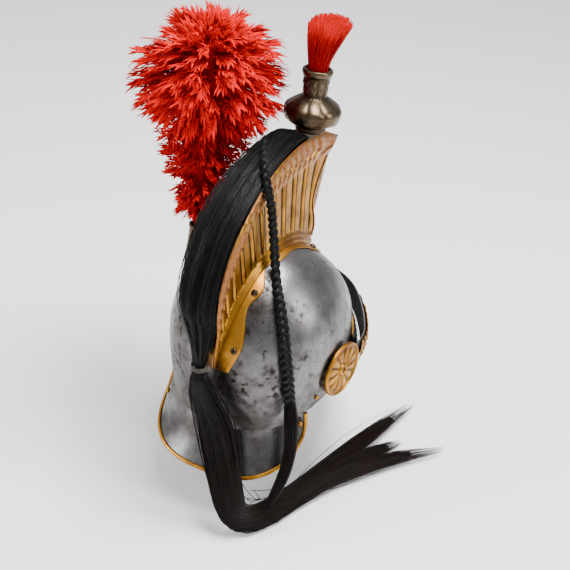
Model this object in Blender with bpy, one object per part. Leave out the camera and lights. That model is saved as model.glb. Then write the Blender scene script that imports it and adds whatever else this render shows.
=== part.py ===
# A crested heavy cavalry helmet of the first half of the 19th century: a steel skull and neck guard,
# a fluted brass crest with a black horsehair mane, a tulip with a red brush at its front, a red
# feather plume on the left, a fur turban, brass chin scales and rosettes.
# Units are metres and +Z is up. The helmet looks along -Y, so the wearer's left is +X. The origin is
# the middle of the head opening, level with the lower edge of the skull.

import math

import bmesh
import bpy
import numpy as np

# Sizes of the skull and of the plates riveted to it
SKULL_HALF_WIDTH = 0.0935
SKULL_FRONT = 0.113
SKULL_REAR = 0.101
SKULL_BELLY = 0.075
SKULL_DOME = 0.097
SKULL_TUCK = 0.08
SKULL_POINTED = 0.40
EAR_RISE = 0.024
STEEL = 0.0015
BRASS = 0.0012
GAP = 0.0003
TURN_STEP = 9.0
LAP_LEVEL = -0.86
GUARD_HALF_WIDTH = 0.0835
GUARD_END = 0.038
GUARD_BACK = 0.111
GUARD_DROP = 0.049
GUARD_TURNS = 63.0
PEAK_HALF_WIDTH = 0.069
PEAK_END = 0.066
PEAK_FRONT = 0.160
PEAK_DROP = 0.010
PEAK_THICK = 0.002
PEAK_TURNS = 45.0
EDGE_WIRE = 0.0026

# Sizes of the crest and what it carries
CREST_HEIGHT = 0.100
CREST_HALF_WIDTH = 0.017
FLANGE_HALF_WIDTH = 0.035
FLUTES = 11
FLUTE_DEPTH = 0.0016
GUTTER = 0.005
SEAT = 0.0006
TULIP_RADIUS = 0.030
TULIP_HEIGHT = 0.066
TULIP_AT = 1.2
TULIP_TILT = 6.0
BRUSH_LENGTH = 0.049
BRUSH_RADIUS = 0.0225
BRUSH_PLUG = 0.020
BRUSH_BEND = 0.022

# Sizes of the hair, the plume and the chin strap
MANE_RISE = 0.030
MANE_REACH = 0.034
TIE_OUT = 0.0215
TIE_RISE = 0.0175
TIE_RADIUS = 0.0088
TIE_WIDTH = 0.006
TAIL_DROP = 0.087
TAIL_HALF_WIDTH = 0.0235
LOCK_HALF_WIDTH = 0.0125
BRAID_RADIUS = 0.0075
PLUME_RADIUS = 0.075
PLUME_HEIGHT = 0.238
PLUME_LEAN = 0.036
PLUME_OUT = 0.012
PLUME_STEM = 0.018
HOLDER_RADIUS = 0.0065
HOLDER_TURN = 92.0
HOLDER_LEVEL = 0.30
HOLDER_LENGTH = 0.048
HOLDER_LEAN = 6.0
TURBAN_PILE = 0.0095
TURBAN_TOP = 0.083
TURBAN_END = 0.062
TURBAN_TURNS = 65.0
PIPING = 0.0011
STRAP_WIDTH = 0.027
STRAP_THICK = 0.002
SCALES = 8
SCALE_WIDTH = 0.027
ROSETTE_RADIUS = 0.0305
ROSETTE_HEIGHT = 0.050
ROSETTE_AHEAD = 0.004
ROSETTE_TURN = 6.5
ROSETTE_THICK = 0.0022
ROSETTE_PETALS = 12
RIVET_RADIUS = 0.0028
SCREW_RADIUS = 0.0036

# Finish: base colour, metallic, roughness
LOOKS = {
    "steel": ((0.42, 0.41, 0.42), 1.0, 0.34),
    "brass": ((0.62, 0.42, 0.16), 1.0, 0.34),
    "dark_brass": ((0.20, 0.16, 0.11), 1.0, 0.38),
    "black_hair": ((0.012, 0.010, 0.010), 0.0, 0.45),
    "red_feather": ((0.62, 0.012, 0.018), 0.0, 0.75),
    "red_hair": ((0.66, 0.015, 0.012), 0.0, 0.6),
    "fur": ((0.012, 0.010, 0.009), 0.0, 0.9),
    "leather": ((0.035, 0.033, 0.034), 0.0, 0.55),
    "cord": ((0.03, 0.025, 0.02), 0.0, 0.7),
}

# One row for each section of the crest, front to rear. The turns are degrees about the belly of the
# skull, from the front over the crown, and the lifts are shares of CREST_HEIGHT off the skull: at the
# top of the base moulding, the waist of the flutes, the foot of the leaf band and the rim. Then the
# half widths: of the flange, a share of FLANGE_HALF_WIDTH, and of the body and the rim, shares of
# CREST_HALF_WIDTH.
CREST_ROWS = (
    (48, 0.16, 60, 0.46, 59, 0.95, 56, 1.19, 1.00, 0.94, 0.80),
    (54, 0.11, 63, 0.48, 66, 0.88, 65, 1.15, 0.97, 1.00, 0.78),
    (69, 0.11, 73, 0.46, 75, 0.79, 76, 1.08, 0.86, 1.00, 0.74),
    (84, 0.10, 85, 0.41, 86, 0.71, 86, 0.985, 0.77, 0.97, 0.71),
    (98, 0.09, 97, 0.39, 96, 0.68, 97, 0.89, 0.77, 0.94, 0.71),
    (110, 0.09, 108, 0.37, 107, 0.64, 109, 0.79, 0.56, 0.88, 0.71),
    (124, 0.08, 120, 0.30, 118, 0.53, 121, 0.68, 0.83, 0.80, 0.68),
    (138, 0.07, 133, 0.23, 129, 0.40, 133, 0.52, 0.66, 0.71, 0.64),
    (152, 0.04, 148, 0.13, 144, 0.23, 146, 0.33, 0.80, 0.62, 0.58),
    (163, 0.025, 161, 0.06, 159, 0.09, 158, 0.13, 0.84, 0.50, 0.46),
    (179, 0.015, 178, 0.025, 178, 0.035, 177, 0.045, 0.58, 0.36, 0.30),
)
# The tulip's profile: radius as a share of TULIP_RADIUS, height as a share of TULIP_HEIGHT
TULIP_ROWS = (
    (0.50, 0.00),
    (0.54, 0.03),
    (0.50, 0.07),
    (0.62, 0.11),
    (0.90, 0.18),
    (1.00, 0.29),
    (0.94, 0.39),
    (0.70, 0.49),
    (0.47, 0.56),
    (0.43, 0.60),
    (0.45, 0.82),
    (0.52, 0.93),
    (0.53, 0.97),
    (0.49, 1.00),
    (0.42, 1.00),
    (0.38, 0.62),
)
# The brush: height above the lip as a share of BRUSH_LENGTH, radius as a share of BRUSH_RADIUS
BRUSH_ROWS = ((0.25, 0.55), (0.55, 0.78), (0.85, 1.00), (1.00, 0.80))
# The mane on the crest: station on the crest in rows, then shares of MANE_RISE above the rim and of
# MANE_REACH to the left and down the left side
MANE_ROWS = (
    (1.75, 0.10, 0.55, 0.20),
    (2.30, 0.36, 0.66, 0.40),
    (3.20, 0.42, 0.82, 0.60),
    (4.20, 0.44, 0.95, 0.75),
    (5.20, 0.52, 1.00, 0.85),
    (6.20, 0.64, 1.00, 0.80),
    (7.00, 0.78, 0.95, 0.65),
    (7.80, 0.84, 0.84, 0.50),
    (8.50, 0.72, 0.66, 0.36),
)
# The plume: height as a share of PLUME_HEIGHT, radius as a share of PLUME_RADIUS, lean as a share of
# PLUME_LEAN forward and of PLUME_OUT to the left
PLUME_ROWS = (
    (0.000, 0.045, 0.00),
    (0.075, 0.050, 0.00),
    (0.120, 0.210, 0.02),
    (0.200, 0.380, 0.15),
    (0.300, 0.560, 0.40),
    (0.380, 0.640, 0.62),
    (0.430, 0.800, 0.76),
    (0.520, 0.980, 0.90),
    (0.640, 1.060, 1.00),
    (0.770, 1.030, 1.00),
    (0.880, 0.820, 1.00),
    (0.960, 0.500, 1.00),
    (1.000, 0.180, 1.00),
)
# A rosette's profile: share of ROSETTE_RADIUS, height as a share of ROSETTE_THICK, and how strongly
# the petals stand out there
ROSETTE_ROWS = (
    (1.00, 0.0, 0.0),
    (1.00, 0.9, 0.0),
    (0.93, 1.3, 0.0),
    (0.87, 0.7, 0.0),
    (0.72, 0.9, 0.7),
    (0.42, 1.0, 0.6),
    (0.24, 0.7, 0.0),
    (0.18, 1.9, 0.0),
    (0.08, 1.9, 0.0),
)
# The chin strap: turn from the front, height above the origin and lift off the skull
STRAP_ROWS = (
    (90.0, 0.050, 0.0008),
    (80.0, 0.049, 0.0012),
    (69.0, 0.049, 0.0090),
    (60.0, 0.051, 0.0132),
    (51.0, 0.056, 0.0138),
    (42.0, 0.064, 0.0130),
    (33.0, 0.072, 0.0120),
    (18.0, 0.077, 0.0108),
    (0.0, 0.079, 0.0100),
)
# The mane's tail below its tie: shares of GUARD_HALF_WIDTH to the right, of GUARD_BACK behind the
# origin and of TAIL_DROP up, then its half width and half thickness as shares of TAIL_HALF_WIDTH
TAIL_ROWS = (
    (0.04, 1.09, 0.71, 0.65, 0.38),
    (0.19, 1.06, 0.29, 0.88, 0.37),
    (0.38, 1.12, -0.17, 0.98, 0.35),
    (0.54, 1.20, -0.53, 0.92, 0.35),
    (0.66, 1.20, -0.79, 0.78, 0.37),
    (0.80, 1.03, -0.96, 0.68, 0.38),
    (0.96, 0.67, -1.00, 0.70, 0.38),
    (1.09, 0.27, -1.00, 0.78, 0.37),
    (1.21, -0.07, -1.00, 0.83, 0.35),
)
# The three locks that the tail ends in, from inside the tail to their tips, in the same shares
TIP_ROWS = (
    ((1.05, 0.18, -1.00), (1.20, -0.45, -1.00), (1.34, -0.99, -1.01), (1.47, -1.51, -1.03)),
    ((1.15, 0.18, -1.00), (1.34, -0.27, -1.00), (1.54, -0.61, -1.01), (1.72, -0.86, -1.03)),
    ((1.17, 0.22, -1.00), (1.46, -0.20, -1.00), (1.82, -0.61, -1.01), (2.27, -1.01, -1.03)),
)
# The braid on the crest: station in rows, share of the crest's height there, share of
# CREST_HALF_WIDTH to the right
BRAID_ON_CREST = (
    (3.42, 1.213, -0.35),
    (3.82, 1.203, 0.15),
    (4.10, 1.121, 0.59),
    (4.35, 0.975, 1.03),
    (4.49, 0.747, 1.20),
    (4.43, 0.469, 1.28),
    (4.52, 0.287, 1.44),
)
# The braid on the skull: turn from the front to the right, level, share of BRAID_RADIUS off the skull
BRAID_ON_SKULL = (
    (135.5, 0.700, 0.85),
    (136.2, 0.511, 0.85),
    (135.6, 0.380, 0.85),
    (134.9, 0.263, 0.85),
    (134.0, 0.140, 0.85),
    (132.9, 0.025, 0.85),
    (131.5, -0.200, 0.90),
    (130.3, -0.420, 0.95),
)
# The braid's loose end, in the tail's shares: to the right, behind, up and its half width as a share
# of BRAID_RADIUS
BRAID_END_ROWS = (
    (0.99, 0.68, 0.28, 1.00),
    (1.03, 0.71, 0.00, 0.95),
    (1.05, 0.80, -0.28, 0.90),
    (1.01, 0.88, -0.53, 0.80),
    (0.95, 0.93, -0.73, 0.60),
    (0.90, 0.97, -0.84, 0.27),
)
# Rivets, each once on either side: through the skull, its turn from the front and height; through the
# neck guard, its shares across and down the guard
SKULL_RIVET = (107.0, 0.029)
GUARD_RIVETS = ((0.96, 0.60), (0.86, 0.82))
# Screws through the lobes of the crest's flange: station on the crest in rows, share of the flange's
# half width
SCREW_ROWS = ((1.2, 0.88), (6.3, 0.82), (9.1, 0.80))
# Shares across the peak, from its right end to its left end
PEAK_SHARES = np.linspace(-1, 1, 15)


def unit(vectors):
    """The vectors, each made one metre long."""
    return vectors / np.linalg.norm(vectors, axis=-1, keepdims=True)


def smooth(rows, places):
    """The rows read at fractional row numbers, on a curve that passes smoothly through every row."""
    rows = np.asarray(rows, float)
    places = np.clip(np.asarray(places, float), 0, len(rows) - 1)
    first = np.minimum(places.astype(int), len(rows) - 2)
    part = (places - first)[:, None]
    slopes = np.gradient(rows, axis=0)
    start, end = rows[first], rows[first + 1]
    leave, arrive = slopes[first], slopes[first + 1]
    return (
        (2 * part**3 - 3 * part**2 + 1) * start
        + (part**3 - 2 * part**2 + part) * leave
        + (3 * part**2 - 2 * part**3) * end
        + (part**3 - part**2) * arrive
    )


def skull_edge(turn):
    """The height of the skull's lower edge, which rises over the ears."""
    return EAR_RISE * np.sin(np.radians(turn)) ** 6


def skull_power(turn):
    """The roundness of the dome at a turn in radians: 2 is an ellipse, and less is more pointed."""
    return 2 - SKULL_POINTED * np.maximum(np.cos(turn), 0.0) ** 2


def skull_point(turn, level, lift=0.0):
    """A point off the skull: turn in degrees from the front to the left, level -1 edge, 0 belly, 1 crown."""
    edge = skull_edge(turn)
    turn = np.radians(turn)
    rise = np.maximum(level, 0.0) * math.pi / 2
    low = edge + (SKULL_BELLY - edge) * (1 + np.minimum(level, 0.0))
    power = skull_power(turn)
    spread = (1 - SKULL_TUCK * (1 - low / SKULL_BELLY) ** 2) * (1 - np.sin(rise) ** power) ** (1 / power)
    length = np.where(np.cos(turn) > 0, SKULL_FRONT, SKULL_REAR) + lift
    x = (SKULL_HALF_WIDTH + lift) * spread * np.sin(turn)
    y = -length * spread * np.cos(turn)
    z = low + (SKULL_DOME + lift) * np.sin(rise)
    return np.stack(np.broadcast_arrays(x, y, z), axis=-1)


def skull_level(height, turn):
    """The level of skull_point at a height above the origin."""
    height = np.asarray(height, float)
    edge = skull_edge(turn)
    dome = np.arcsin(np.clip((height - SKULL_BELLY) / SKULL_DOME, 0, 1)) / (math.pi / 2)
    return np.where(height < SKULL_BELLY, (height - edge) / (SKULL_BELLY - edge) - 1, dome)


def skull_out(turn, level):
    """The direction straight out of the skull."""
    step = 0.5
    along = skull_point(turn + step, level) - skull_point(turn - step, level)
    up = skull_point(turn, level + 0.01) - skull_point(turn, level - 0.01)
    return unit(np.cross(along, up))


def add_solid(name, points, faces, look, crease=38.0):
    """One closed mesh object, its faces turned outwards, with its own material."""
    mesh = bpy.data.meshes.new(name)
    mesh.from_pydata([tuple(map(float, point)) for point in points], [], faces)
    shape = bmesh.new()
    shape.from_mesh(mesh)
    bmesh.ops.recalc_face_normals(shape, faces=shape.faces)
    shape.to_mesh(mesh)
    shape.free()
    mesh.shade_smooth()
    mesh.set_sharp_from_angle(angle=math.radians(crease))
    colour, metallic, roughness = LOOKS[look]
    material = bpy.data.materials.new(f"{name}_{look}")
    material.use_nodes = True
    shader = material.node_tree.nodes["Principled BSDF"]
    shader.inputs["Base Color"].default_value = (*colour, 1.0)
    shader.inputs["Metallic"].default_value = metallic
    shader.inputs["Roughness"].default_value = roughness
    mesh.materials.append(material)
    solid = bpy.data.objects.new(name, mesh)
    bpy.context.scene.collection.objects.link(solid)
    return solid


def grid_faces(index, closed):
    """The quads between neighbouring rows and columns of an index grid."""
    columns = index.shape[1]
    reach = columns if closed else columns - 1
    return [
        (
            int(index[row, column]),
            int(index[row, (column + 1) % columns]),
            int(index[row + 1, (column + 1) % columns]),
            int(index[row + 1, column]),
        )
        for row in range(index.shape[0] - 1)
        for column in range(reach)
    ]


def add_loft(name, sections, look, crease=38.0):
    """A solid through closed sections, capped at both ends."""
    sections = np.asarray(sections, float)
    index = np.arange(sections.shape[0] * sections.shape[1]).reshape(sections.shape[:2])
    faces = grid_faces(index, True)
    faces.append(tuple(map(int, index[0])))
    faces.append(tuple(map(int, index[-1][::-1])))
    return add_solid(name, sections.reshape(-1, 3), faces, look, crease)


def add_sheet(name, face, back, look, closed=False, crown=False, crease=38.0):
    """A sheet between its face and its back, two grids of points, closed round its edges."""
    rows, columns = face.shape[:2]
    front = np.arange(rows * columns).reshape(rows, columns)
    rear = front + rows * columns
    faces = grid_faces(front, closed) + [quad[::-1] for quad in grid_faces(rear, closed)]
    faces += grid_faces(np.stack([rear[0], front[0]]), closed)
    if crown:
        faces.append(tuple(map(int, front[-1])))
        faces.append(tuple(map(int, rear[-1][::-1])))
    else:
        faces += grid_faces(np.stack([front[-1], rear[-1]]), closed)
    if not closed:
        faces += grid_faces(np.stack([front[:, 0], rear[:, 0]]), False)
        faces += grid_faces(np.stack([rear[:, -1], front[:, -1]]), False)
    points = np.concatenate([face.reshape(-1, 3), back.reshape(-1, 3)])
    return add_solid(name, points, faces, look, crease)


def grid_out(grid):
    """The direction square to a grid of points, at each of them."""
    return unit(np.cross(np.gradient(grid, axis=1), np.gradient(grid, axis=0)))


def frames(path, out):
    """For each point of a path: the side and the outward direction, square to the path."""
    along = unit(np.gradient(path, axis=0))
    side = unit(np.cross(along, np.broadcast_to(out, path.shape)))
    return side, np.cross(side, along)


def ring_sections(path, out, half_width, half_thick, sides, ridge=0.0):
    """Oval sections along a path, every other corner drawn in by the ridge share to make locks."""
    side, up = frames(path, out)
    angle = np.arange(sides) * 2 * math.pi / sides
    reach = 1 - ridge * (np.arange(sides) % 2)
    across = np.cos(angle) * reach
    over = np.sin(angle) * reach
    half_width = np.broadcast_to(half_width, len(path))[:, None, None]
    half_thick = np.broadcast_to(half_thick, len(path))[:, None, None]
    return (
        path[:, None]
        + side[:, None] * across[None, :, None] * half_width
        + up[:, None] * over[None, :, None] * half_thick
    )


def turned(profile, foot, axis, sides, start=0.0):
    """Rings of a turned shape: rows of radius and height about an axis from its foot."""
    axis = unit(np.asarray(axis, float))
    side = unit(np.cross(axis, (0.0, 1.0, 0.0) if abs(axis[1]) < 0.9 else (0.0, 0.0, 1.0)))
    other = np.cross(axis, side)
    angle = start + np.arange(sides) * 2 * math.pi / sides
    spokes = np.cos(angle)[:, None] * side + np.sin(angle)[:, None] * other
    profile = np.asarray(profile, float)
    return np.asarray(foot) + profile[:, :1, None] * spokes[None] + profile[:, 1:, None] * axis


def skull_radius(turn):
    """The skull's radius about its belly, in the middle plane, at a turn from the front over the crown."""
    turn = math.radians(turn)
    length = SKULL_FRONT if math.cos(turn) > 0 else SKULL_REAR
    power = 2 - SKULL_POINTED * (math.cos(turn) > 0)
    return (abs(math.cos(turn) / length) ** power + abs(math.sin(turn) / SKULL_DOME) ** power) ** (-1 / power)


def skull_inside(point):
    """Whether a point is inside the skull's outer surface."""
    x, y, z = point[0] / SKULL_HALF_WIDTH, point[1], max(point[2] - SKULL_BELLY, 0.0) / SKULL_DOME
    y = -y / SKULL_FRONT if y < 0 else y / SKULL_REAR
    reach = math.hypot(x, y)
    front = y / max(reach, 1e-9) if point[1] < 0 else 0.0
    power = 2 - SKULL_POINTED * front**2
    tuck = 1 - SKULL_TUCK * (1 - min(point[2], SKULL_BELLY) / SKULL_BELLY) ** 2
    return (reach / tuck) ** power + z**power < 1


def skull_sink(turn, x):
    """How far the skull falls below its middle line at a turn over the crown, x to the side."""
    down = np.array([0.0, math.cos(math.radians(turn)), -math.sin(math.radians(turn))])
    start = crest_spot(turn, 0.0) + np.array([x, 0.0, 0.0])
    near, far = 0.0, SKULL_DOME
    for _ in range(30):
        middle = 0.5 * (near + far)
        if skull_inside(start + down * middle):
            far = middle
        else:
            near = middle
    return near


def crest_spot(turn, lift):
    """A point in the middle plane at a turn over the crown and a lift off the skull."""
    radius = skull_radius(turn) + lift
    turn = math.radians(turn)
    return np.array([0.0, -radius * math.cos(turn), SKULL_BELLY + radius * math.sin(turn)])


def crest_section(station):
    """The crest's rising line at a station, its half widths, and the turn of its base."""
    row = smooth(CREST_ROWS, [station])[0]
    knots = [crest_spot(row[0], SEAT)]
    knots += [crest_spot(row[2 * k], row[2 * k + 1] * CREST_HEIGHT) for k in range(4)]
    knots = np.array(knots)
    steps = np.concatenate([[0.0], np.cumsum(np.linalg.norm(np.diff(knots, axis=0), axis=1))])
    flange = row[8] * FLANGE_HALF_WIDTH
    body = row[9] * CREST_HALF_WIDTH
    rim = row[10] * CREST_HALF_WIDTH
    return knots, steps, flange, body, rim, row[0]


def crest_point(section, length, x):
    """The point at a length up the rising line and x to the side, its foot bent down over the skull."""
    knots, steps, _, _, _, turn = section
    spot = np.array([np.interp(length, steps, knots[:, k]) for k in range(3)])
    if length > steps[-1]:
        spot = knots[-1] + unit(knots[-1] - knots[-2]) * (length - steps[-1])
    sink = skull_sink(turn, x)
    fade = 1 - min(1.0, max(0.0, length / (2 * steps[1] + BRASS)))
    down = np.array([0.0, -math.cos(math.radians(turn)), math.sin(math.radians(turn))])
    return spot - down * sink * fade + np.array([x, 0.0, 0.0])


def crest_outline(station, flute):
    """The closed outline of the crest's sheet at a station: outside, over the gutter, and inside."""
    section = crest_section(station)
    _, steps, flange, body, rim, _ = section
    moulding, waist, band, top = steps[1:]
    gutter = top - min(GUTTER, 0.3 * top)
    web = gutter - min(1.3 * BRASS, 0.3 * top)
    bead = min(1.0, moulding / (6 * BRASS))
    hollow = flute * FLUTE_DEPTH * min(1.0, (band - moulding) / (10 * BRASS))

    def width(length):
        return np.interp(length, [moulding, top], [body, rim])

    outside = [
        (BRASS, flange),
        (1.15 * BRASS, body + 3.8 * BRASS * bead),
        (max(0.35 * moulding, 1.2 * BRASS), body + 3.0 * BRASS * bead),
        (max(0.60 * moulding, 1.3 * BRASS), body + 1.2 * BRASS * bead),
        (max(0.82 * moulding, 1.4 * BRASS), body + 1.9 * BRASS * bead),
        (max(moulding, 1.5 * BRASS), body),
        (moulding + 0.10 * (band - moulding), width(moulding) - hollow),
        (waist, width(waist) - hollow),
        (band - 0.08 * (band - moulding), width(band) - hollow),
        (band, width(band) + 0.9 * BRASS),
        (0.5 * (band + top), width(0.5 * (band + top)) + 1.5 * BRASS),
        (top, rim),
        (gutter, rim - 1.6 * BRASS),
    ]
    wall = 2.1 * BRASS
    inside = [
        (web, max(rim - wall, 0.4 * rim)),
        (band, max(width(band) - wall, 0.4 * rim)),
        (waist, max(width(waist) - wall, 0.4 * rim)),
        (min(moulding, 0.5 * waist), max(body - wall, 0.4 * rim)),
        (0.0, max(body - 0.4 * wall, 0.6 * body)),
        (0.0, flange),
    ]
    right = [crest_point(section, length, x) for length, x in outside]
    inner = [crest_point(section, length, x) for length, x in inside]
    mirror = np.array([-1.0, 1.0, 1.0])
    left = [point * mirror for point in right[::-1]]
    return right + left + [point * mirror for point in inner[::-1]] + inner


def crest_stations():
    """Stations along the crest with their flute depth shares: each flute has two ridges and a hollow."""
    fine = np.linspace(0, len(CREST_ROWS) - 1, 200)
    waist = np.array([crest_section(place)[0][2] for place in fine])
    length = np.concatenate([[0.0], np.cumsum(np.linalg.norm(np.diff(waist, axis=0), axis=1))])
    first = np.interp(0.45, fine, length)
    last = np.interp(9.0, fine, length)
    pitch = (last - first) / FLUTES
    marks = [(0.0, 0.0), (0.25, 0.0)]
    for flute in range(FLUTES):
        start = first + flute * pitch
        for share, depth in ((0.0, 0.0), (0.22, 1.0), (0.78, 1.0)):
            marks.append((float(np.interp(start + share * pitch, length, fine)), depth))
    marks += [(9.0, 0.0), (9.5, 0.0), (len(CREST_ROWS) - 1.0, 0.0)]
    return marks


def add_crest():
    """The crest's folded sheet, its two ends closed by strips between its outside and its inside."""
    outlines = np.array([crest_outline(station, flute) for station, flute in crest_stations()])
    sections, corners = outlines.shape[:2]
    index = np.arange(sections * corners).reshape(sections, corners)
    faces = grid_faces(index, True)
    inside = 6
    half = corners // 2 - inside
    behind = (5, 4, 4, 4, 4, 3, 3, 2, 1, 1, 0, 0, 0)
    inner_right = [corners - inside + k for k in behind]
    inner_left = [corners - inside - 1 - k for k in behind]
    outer = list(range(half)) + list(range(half, 2 * half))
    inner = inner_right + inner_left[::-1]
    for row, turn in ((0, 1), (sections - 1, -1)):
        for k in range(len(outer) - 1):
            face = [index[row, outer[k]], index[row, outer[k + 1]], index[row, inner[k + 1]]]
            if inner[k] != inner[k + 1]:
                face.append(index[row, inner[k]])
            faces.append(tuple(int(corner) for corner in face[::turn]))
    add_solid("crest", outlines.reshape(-1, 3), faces, "brass", 30.0)


def add_crest_front():
    """The plate that closes the crest's front, with a palmette raised on it."""
    section = crest_section(0.0)
    _, steps, _, body, rim, _ = section
    rises = np.interp(np.linspace(0.3, 4.0, 12), np.arange(5), steps)
    shares = np.linspace(-1, 1, 9)
    spine = np.array([crest_point(section, rise, 0.0) for rise in rises])
    along = unit(np.gradient(spine, axis=0))
    ahead = np.stack([np.zeros(len(rises)), -along[:, 2], along[:, 1]], axis=-1)
    half = np.interp(rises, [steps[1], steps[-1]], [body, rim]) + 0.8 * BRASS
    back = np.array([[crest_point(section, rise, 0.0) for _ in shares] for rise in rises])
    back[..., 0] = half[:, None] * shares
    back += ahead[:, None] * SEAT
    lobes = 0.5 + 0.5 * np.cos(4 * math.pi * shares)[None, :]
    fan = np.sin(np.linspace(0, math.pi, len(rises)))[:, None]
    swell = BRASS * (1 + 1.6 * lobes * fan * (1 - shares**2)[None, :] + 0.8 * (1 - shares**2)[None, :])
    add_sheet("crest_front_plate", back + ahead[:, None] * swell[..., None], back, "brass")


def add_skull():
    turns = np.arange(0.0, 360.0, TURN_STEP)
    levels = np.array([-1.0, LAP_LEVEL, -0.45, 0.0, 0.22, 0.44, 0.66, 0.86])
    grid = np.meshgrid(turns, levels)
    add_sheet("skull", skull_point(*grid), skull_point(*grid, -STEEL), "steel", closed=True, crown=True)


def guard_rim(share):
    """The neck guard's lower edge, from the right end at -1 to the left end at 1."""
    angle = np.asarray(share) * math.pi / 2
    back = np.cos(angle)
    drop = back**0.36
    x = GUARD_HALF_WIDTH * np.sign(angle) * np.abs(np.sin(angle)) ** 0.72 * (1 - 0.04 * (1 - drop) ** 2)
    y = GUARD_END + (GUARD_BACK - GUARD_END) * back
    top = skull_edge(180.0 - GUARD_TURNS)
    return np.stack([x, y, top - (GUARD_DROP + top) * drop], axis=-1)


def guard_grid(shares, depths):
    """The neck guard's middle surface: depth 0 inside the skull, 0.25 at the skull's edge, 1 at the rim."""
    shares, depths = np.meshgrid(shares, depths)
    inside = -(STEEL + SEAT + 0.5 * STEEL)
    turns = 180.0 - shares * GUARD_TURNS
    lap = np.clip(1 - depths / 0.25, 0, 1) * (1 + LAP_LEVEL)
    upper = skull_point(turns, lap - 1, inside)
    lower = guard_rim(shares)
    down = np.clip((depths - 0.25) / 0.75, 0, 1)
    straight = 0.35 + 0.65 * np.abs(shares) ** 3
    flare = straight * down + (1 - straight) * down**2
    blend = np.stack([flare, flare, down], axis=-1)
    return upper + (lower - upper) * blend


def guard_shares():
    """Shares across the neck guard, closer together towards its two ends."""
    even = np.linspace(-1, 1, 21)
    return even * (1 + 0.35 * (1 - even**2))


def add_neck_guard():
    depths = np.array([0.0, 0.25, 0.46, 0.72, 1.0])
    middle = guard_grid(guard_shares(), depths)
    out = grid_out(middle)
    outward = np.where(np.sum(out * middle, axis=-1, keepdims=True) > 0, out, -out)
    half = 0.5 * STEEL * outward
    add_sheet("neck_guard", middle + half, middle - half, "steel")


def binding_sections(edge, inward, radius, bite, sides=6):
    """Sections of a rolled brass edge round the edge of a sheet, its slot open along inward."""
    path = edge + inward * (0.25 * radius - GAP)
    path[0] += 0.15 * (path[1] - path[0])
    path[-1] += 0.15 * (path[-2] - path[-1])
    side, up = frames(path, inward)
    angle = np.linspace(math.radians(40), math.radians(320), sides)
    ahead, across = np.cos(angle)[None, :, None], np.sin(angle)[None, :, None]
    outer = radius * (ahead * up[:, None] + across * side[:, None])
    mouth = up * radius * math.cos(math.radians(40))
    floor = -up * 0.25 * radius
    slot = (mouth - side * bite, floor - side * bite, floor + side * bite, mouth + side * bite)
    return path[:, None] + np.concatenate([outer, np.stack(slot, axis=1)], axis=1)


def add_guard_binding():
    low = guard_grid(guard_shares(), np.array([0.9, 1.0]))
    inward = unit(low[0] - low[1])
    sections = binding_sections(low[1], inward, EDGE_WIRE, 0.5 * STEEL + GAP)
    add_loft("neck_guard_binding", sections, "brass")


def peak_edge(share):
    """The peak's outer edge, from the right end at -1 to the left end at 1."""
    angle = np.asarray(share) * math.pi / 2
    front = np.cos(angle)
    x = PEAK_HALF_WIDTH * np.sin(angle)
    y = -(PEAK_END + (PEAK_FRONT - PEAK_END) * front)
    return np.stack([x, y, -PEAK_DROP * front], axis=-1)


def peak_grid(shares, depths):
    """The peak's middle surface, from a lap inside the skull to its outer edge."""
    shares, depths = np.meshgrid(shares, depths)
    inside = -(STEEL + 1.7 * SEAT + 0.5 * PEAK_THICK)
    turns = shares * PEAK_TURNS
    lap = np.clip(1 - depths / 0.3, 0, 1) * (1 + LAP_LEVEL)
    upper = skull_point(turns, lap - 1, inside)
    upper[..., 2] -= PEAK_THICK * np.clip(depths / 0.3, 0, 1)
    out = np.clip((depths - 0.3) / 0.7, 0, 1)[..., None]
    return upper + (peak_edge(shares) - np.array([0.0, 0.0, PEAK_THICK]) - upper) * out


def add_peak():
    middle = peak_grid(PEAK_SHARES, np.array([0.0, 0.3, 0.5, 0.75, 1.0]))
    out = grid_out(middle)
    outward = np.where(out[..., 2:] - 0.8 * out[..., 1:2] > 0, out, -out)
    half = 0.5 * PEAK_THICK * outward
    add_sheet("peak", middle + half, middle - half, "leather")


def add_peak_binding():
    low = peak_grid(PEAK_SHARES, np.array([0.9, 1.0]))
    inward = unit(low[0] - low[1])
    sections = binding_sections(low[1], inward, EDGE_WIRE, 0.5 * PEAK_THICK + 2 * GAP)
    add_loft("peak_binding", sections, "brass")


def turban_top(share):
    """The height of the turban's upper edge, from its right end at -1 to its left end at 1."""
    return TURBAN_END + (TURBAN_TOP - TURBAN_END) * np.cos(np.asarray(share) * math.pi / 2) ** 1.3


def add_turban():
    shares, rises = np.meshgrid(np.linspace(-1, 1, 19), np.linspace(0, 1, 5))
    foot = skull_edge(shares * TURBAN_TURNS) + SEAT
    heights = foot + (turban_top(shares) - foot) * rises
    pile = TURBAN_PILE * (0.35 + 0.65 * np.sin(rises * math.pi) ** 0.6)
    pile *= 0.62 + 0.38 * np.abs(shares) ** 0.7
    turns = shares * TURBAN_TURNS
    face = skull_point(turns, skull_level(heights, turns), 2 * SEAT + pile)
    back = skull_point(turns, skull_level(heights, turns), 2 * SEAT)
    add_sheet("turban", face, back, "fur")


def add_turban_piping():
    """The brass bead along the turban's upper edge."""
    shares = np.linspace(-1, 1, 25)
    turns = shares * TURBAN_TURNS
    levels = skull_level(turban_top(shares) + PIPING + 2 * GAP, turns)
    path = skull_point(turns, levels, SEAT + PIPING)
    add_loft("turban_piping", ring_sections(path, skull_out(turns, levels), PIPING, PIPING, 6), "brass")


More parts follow.
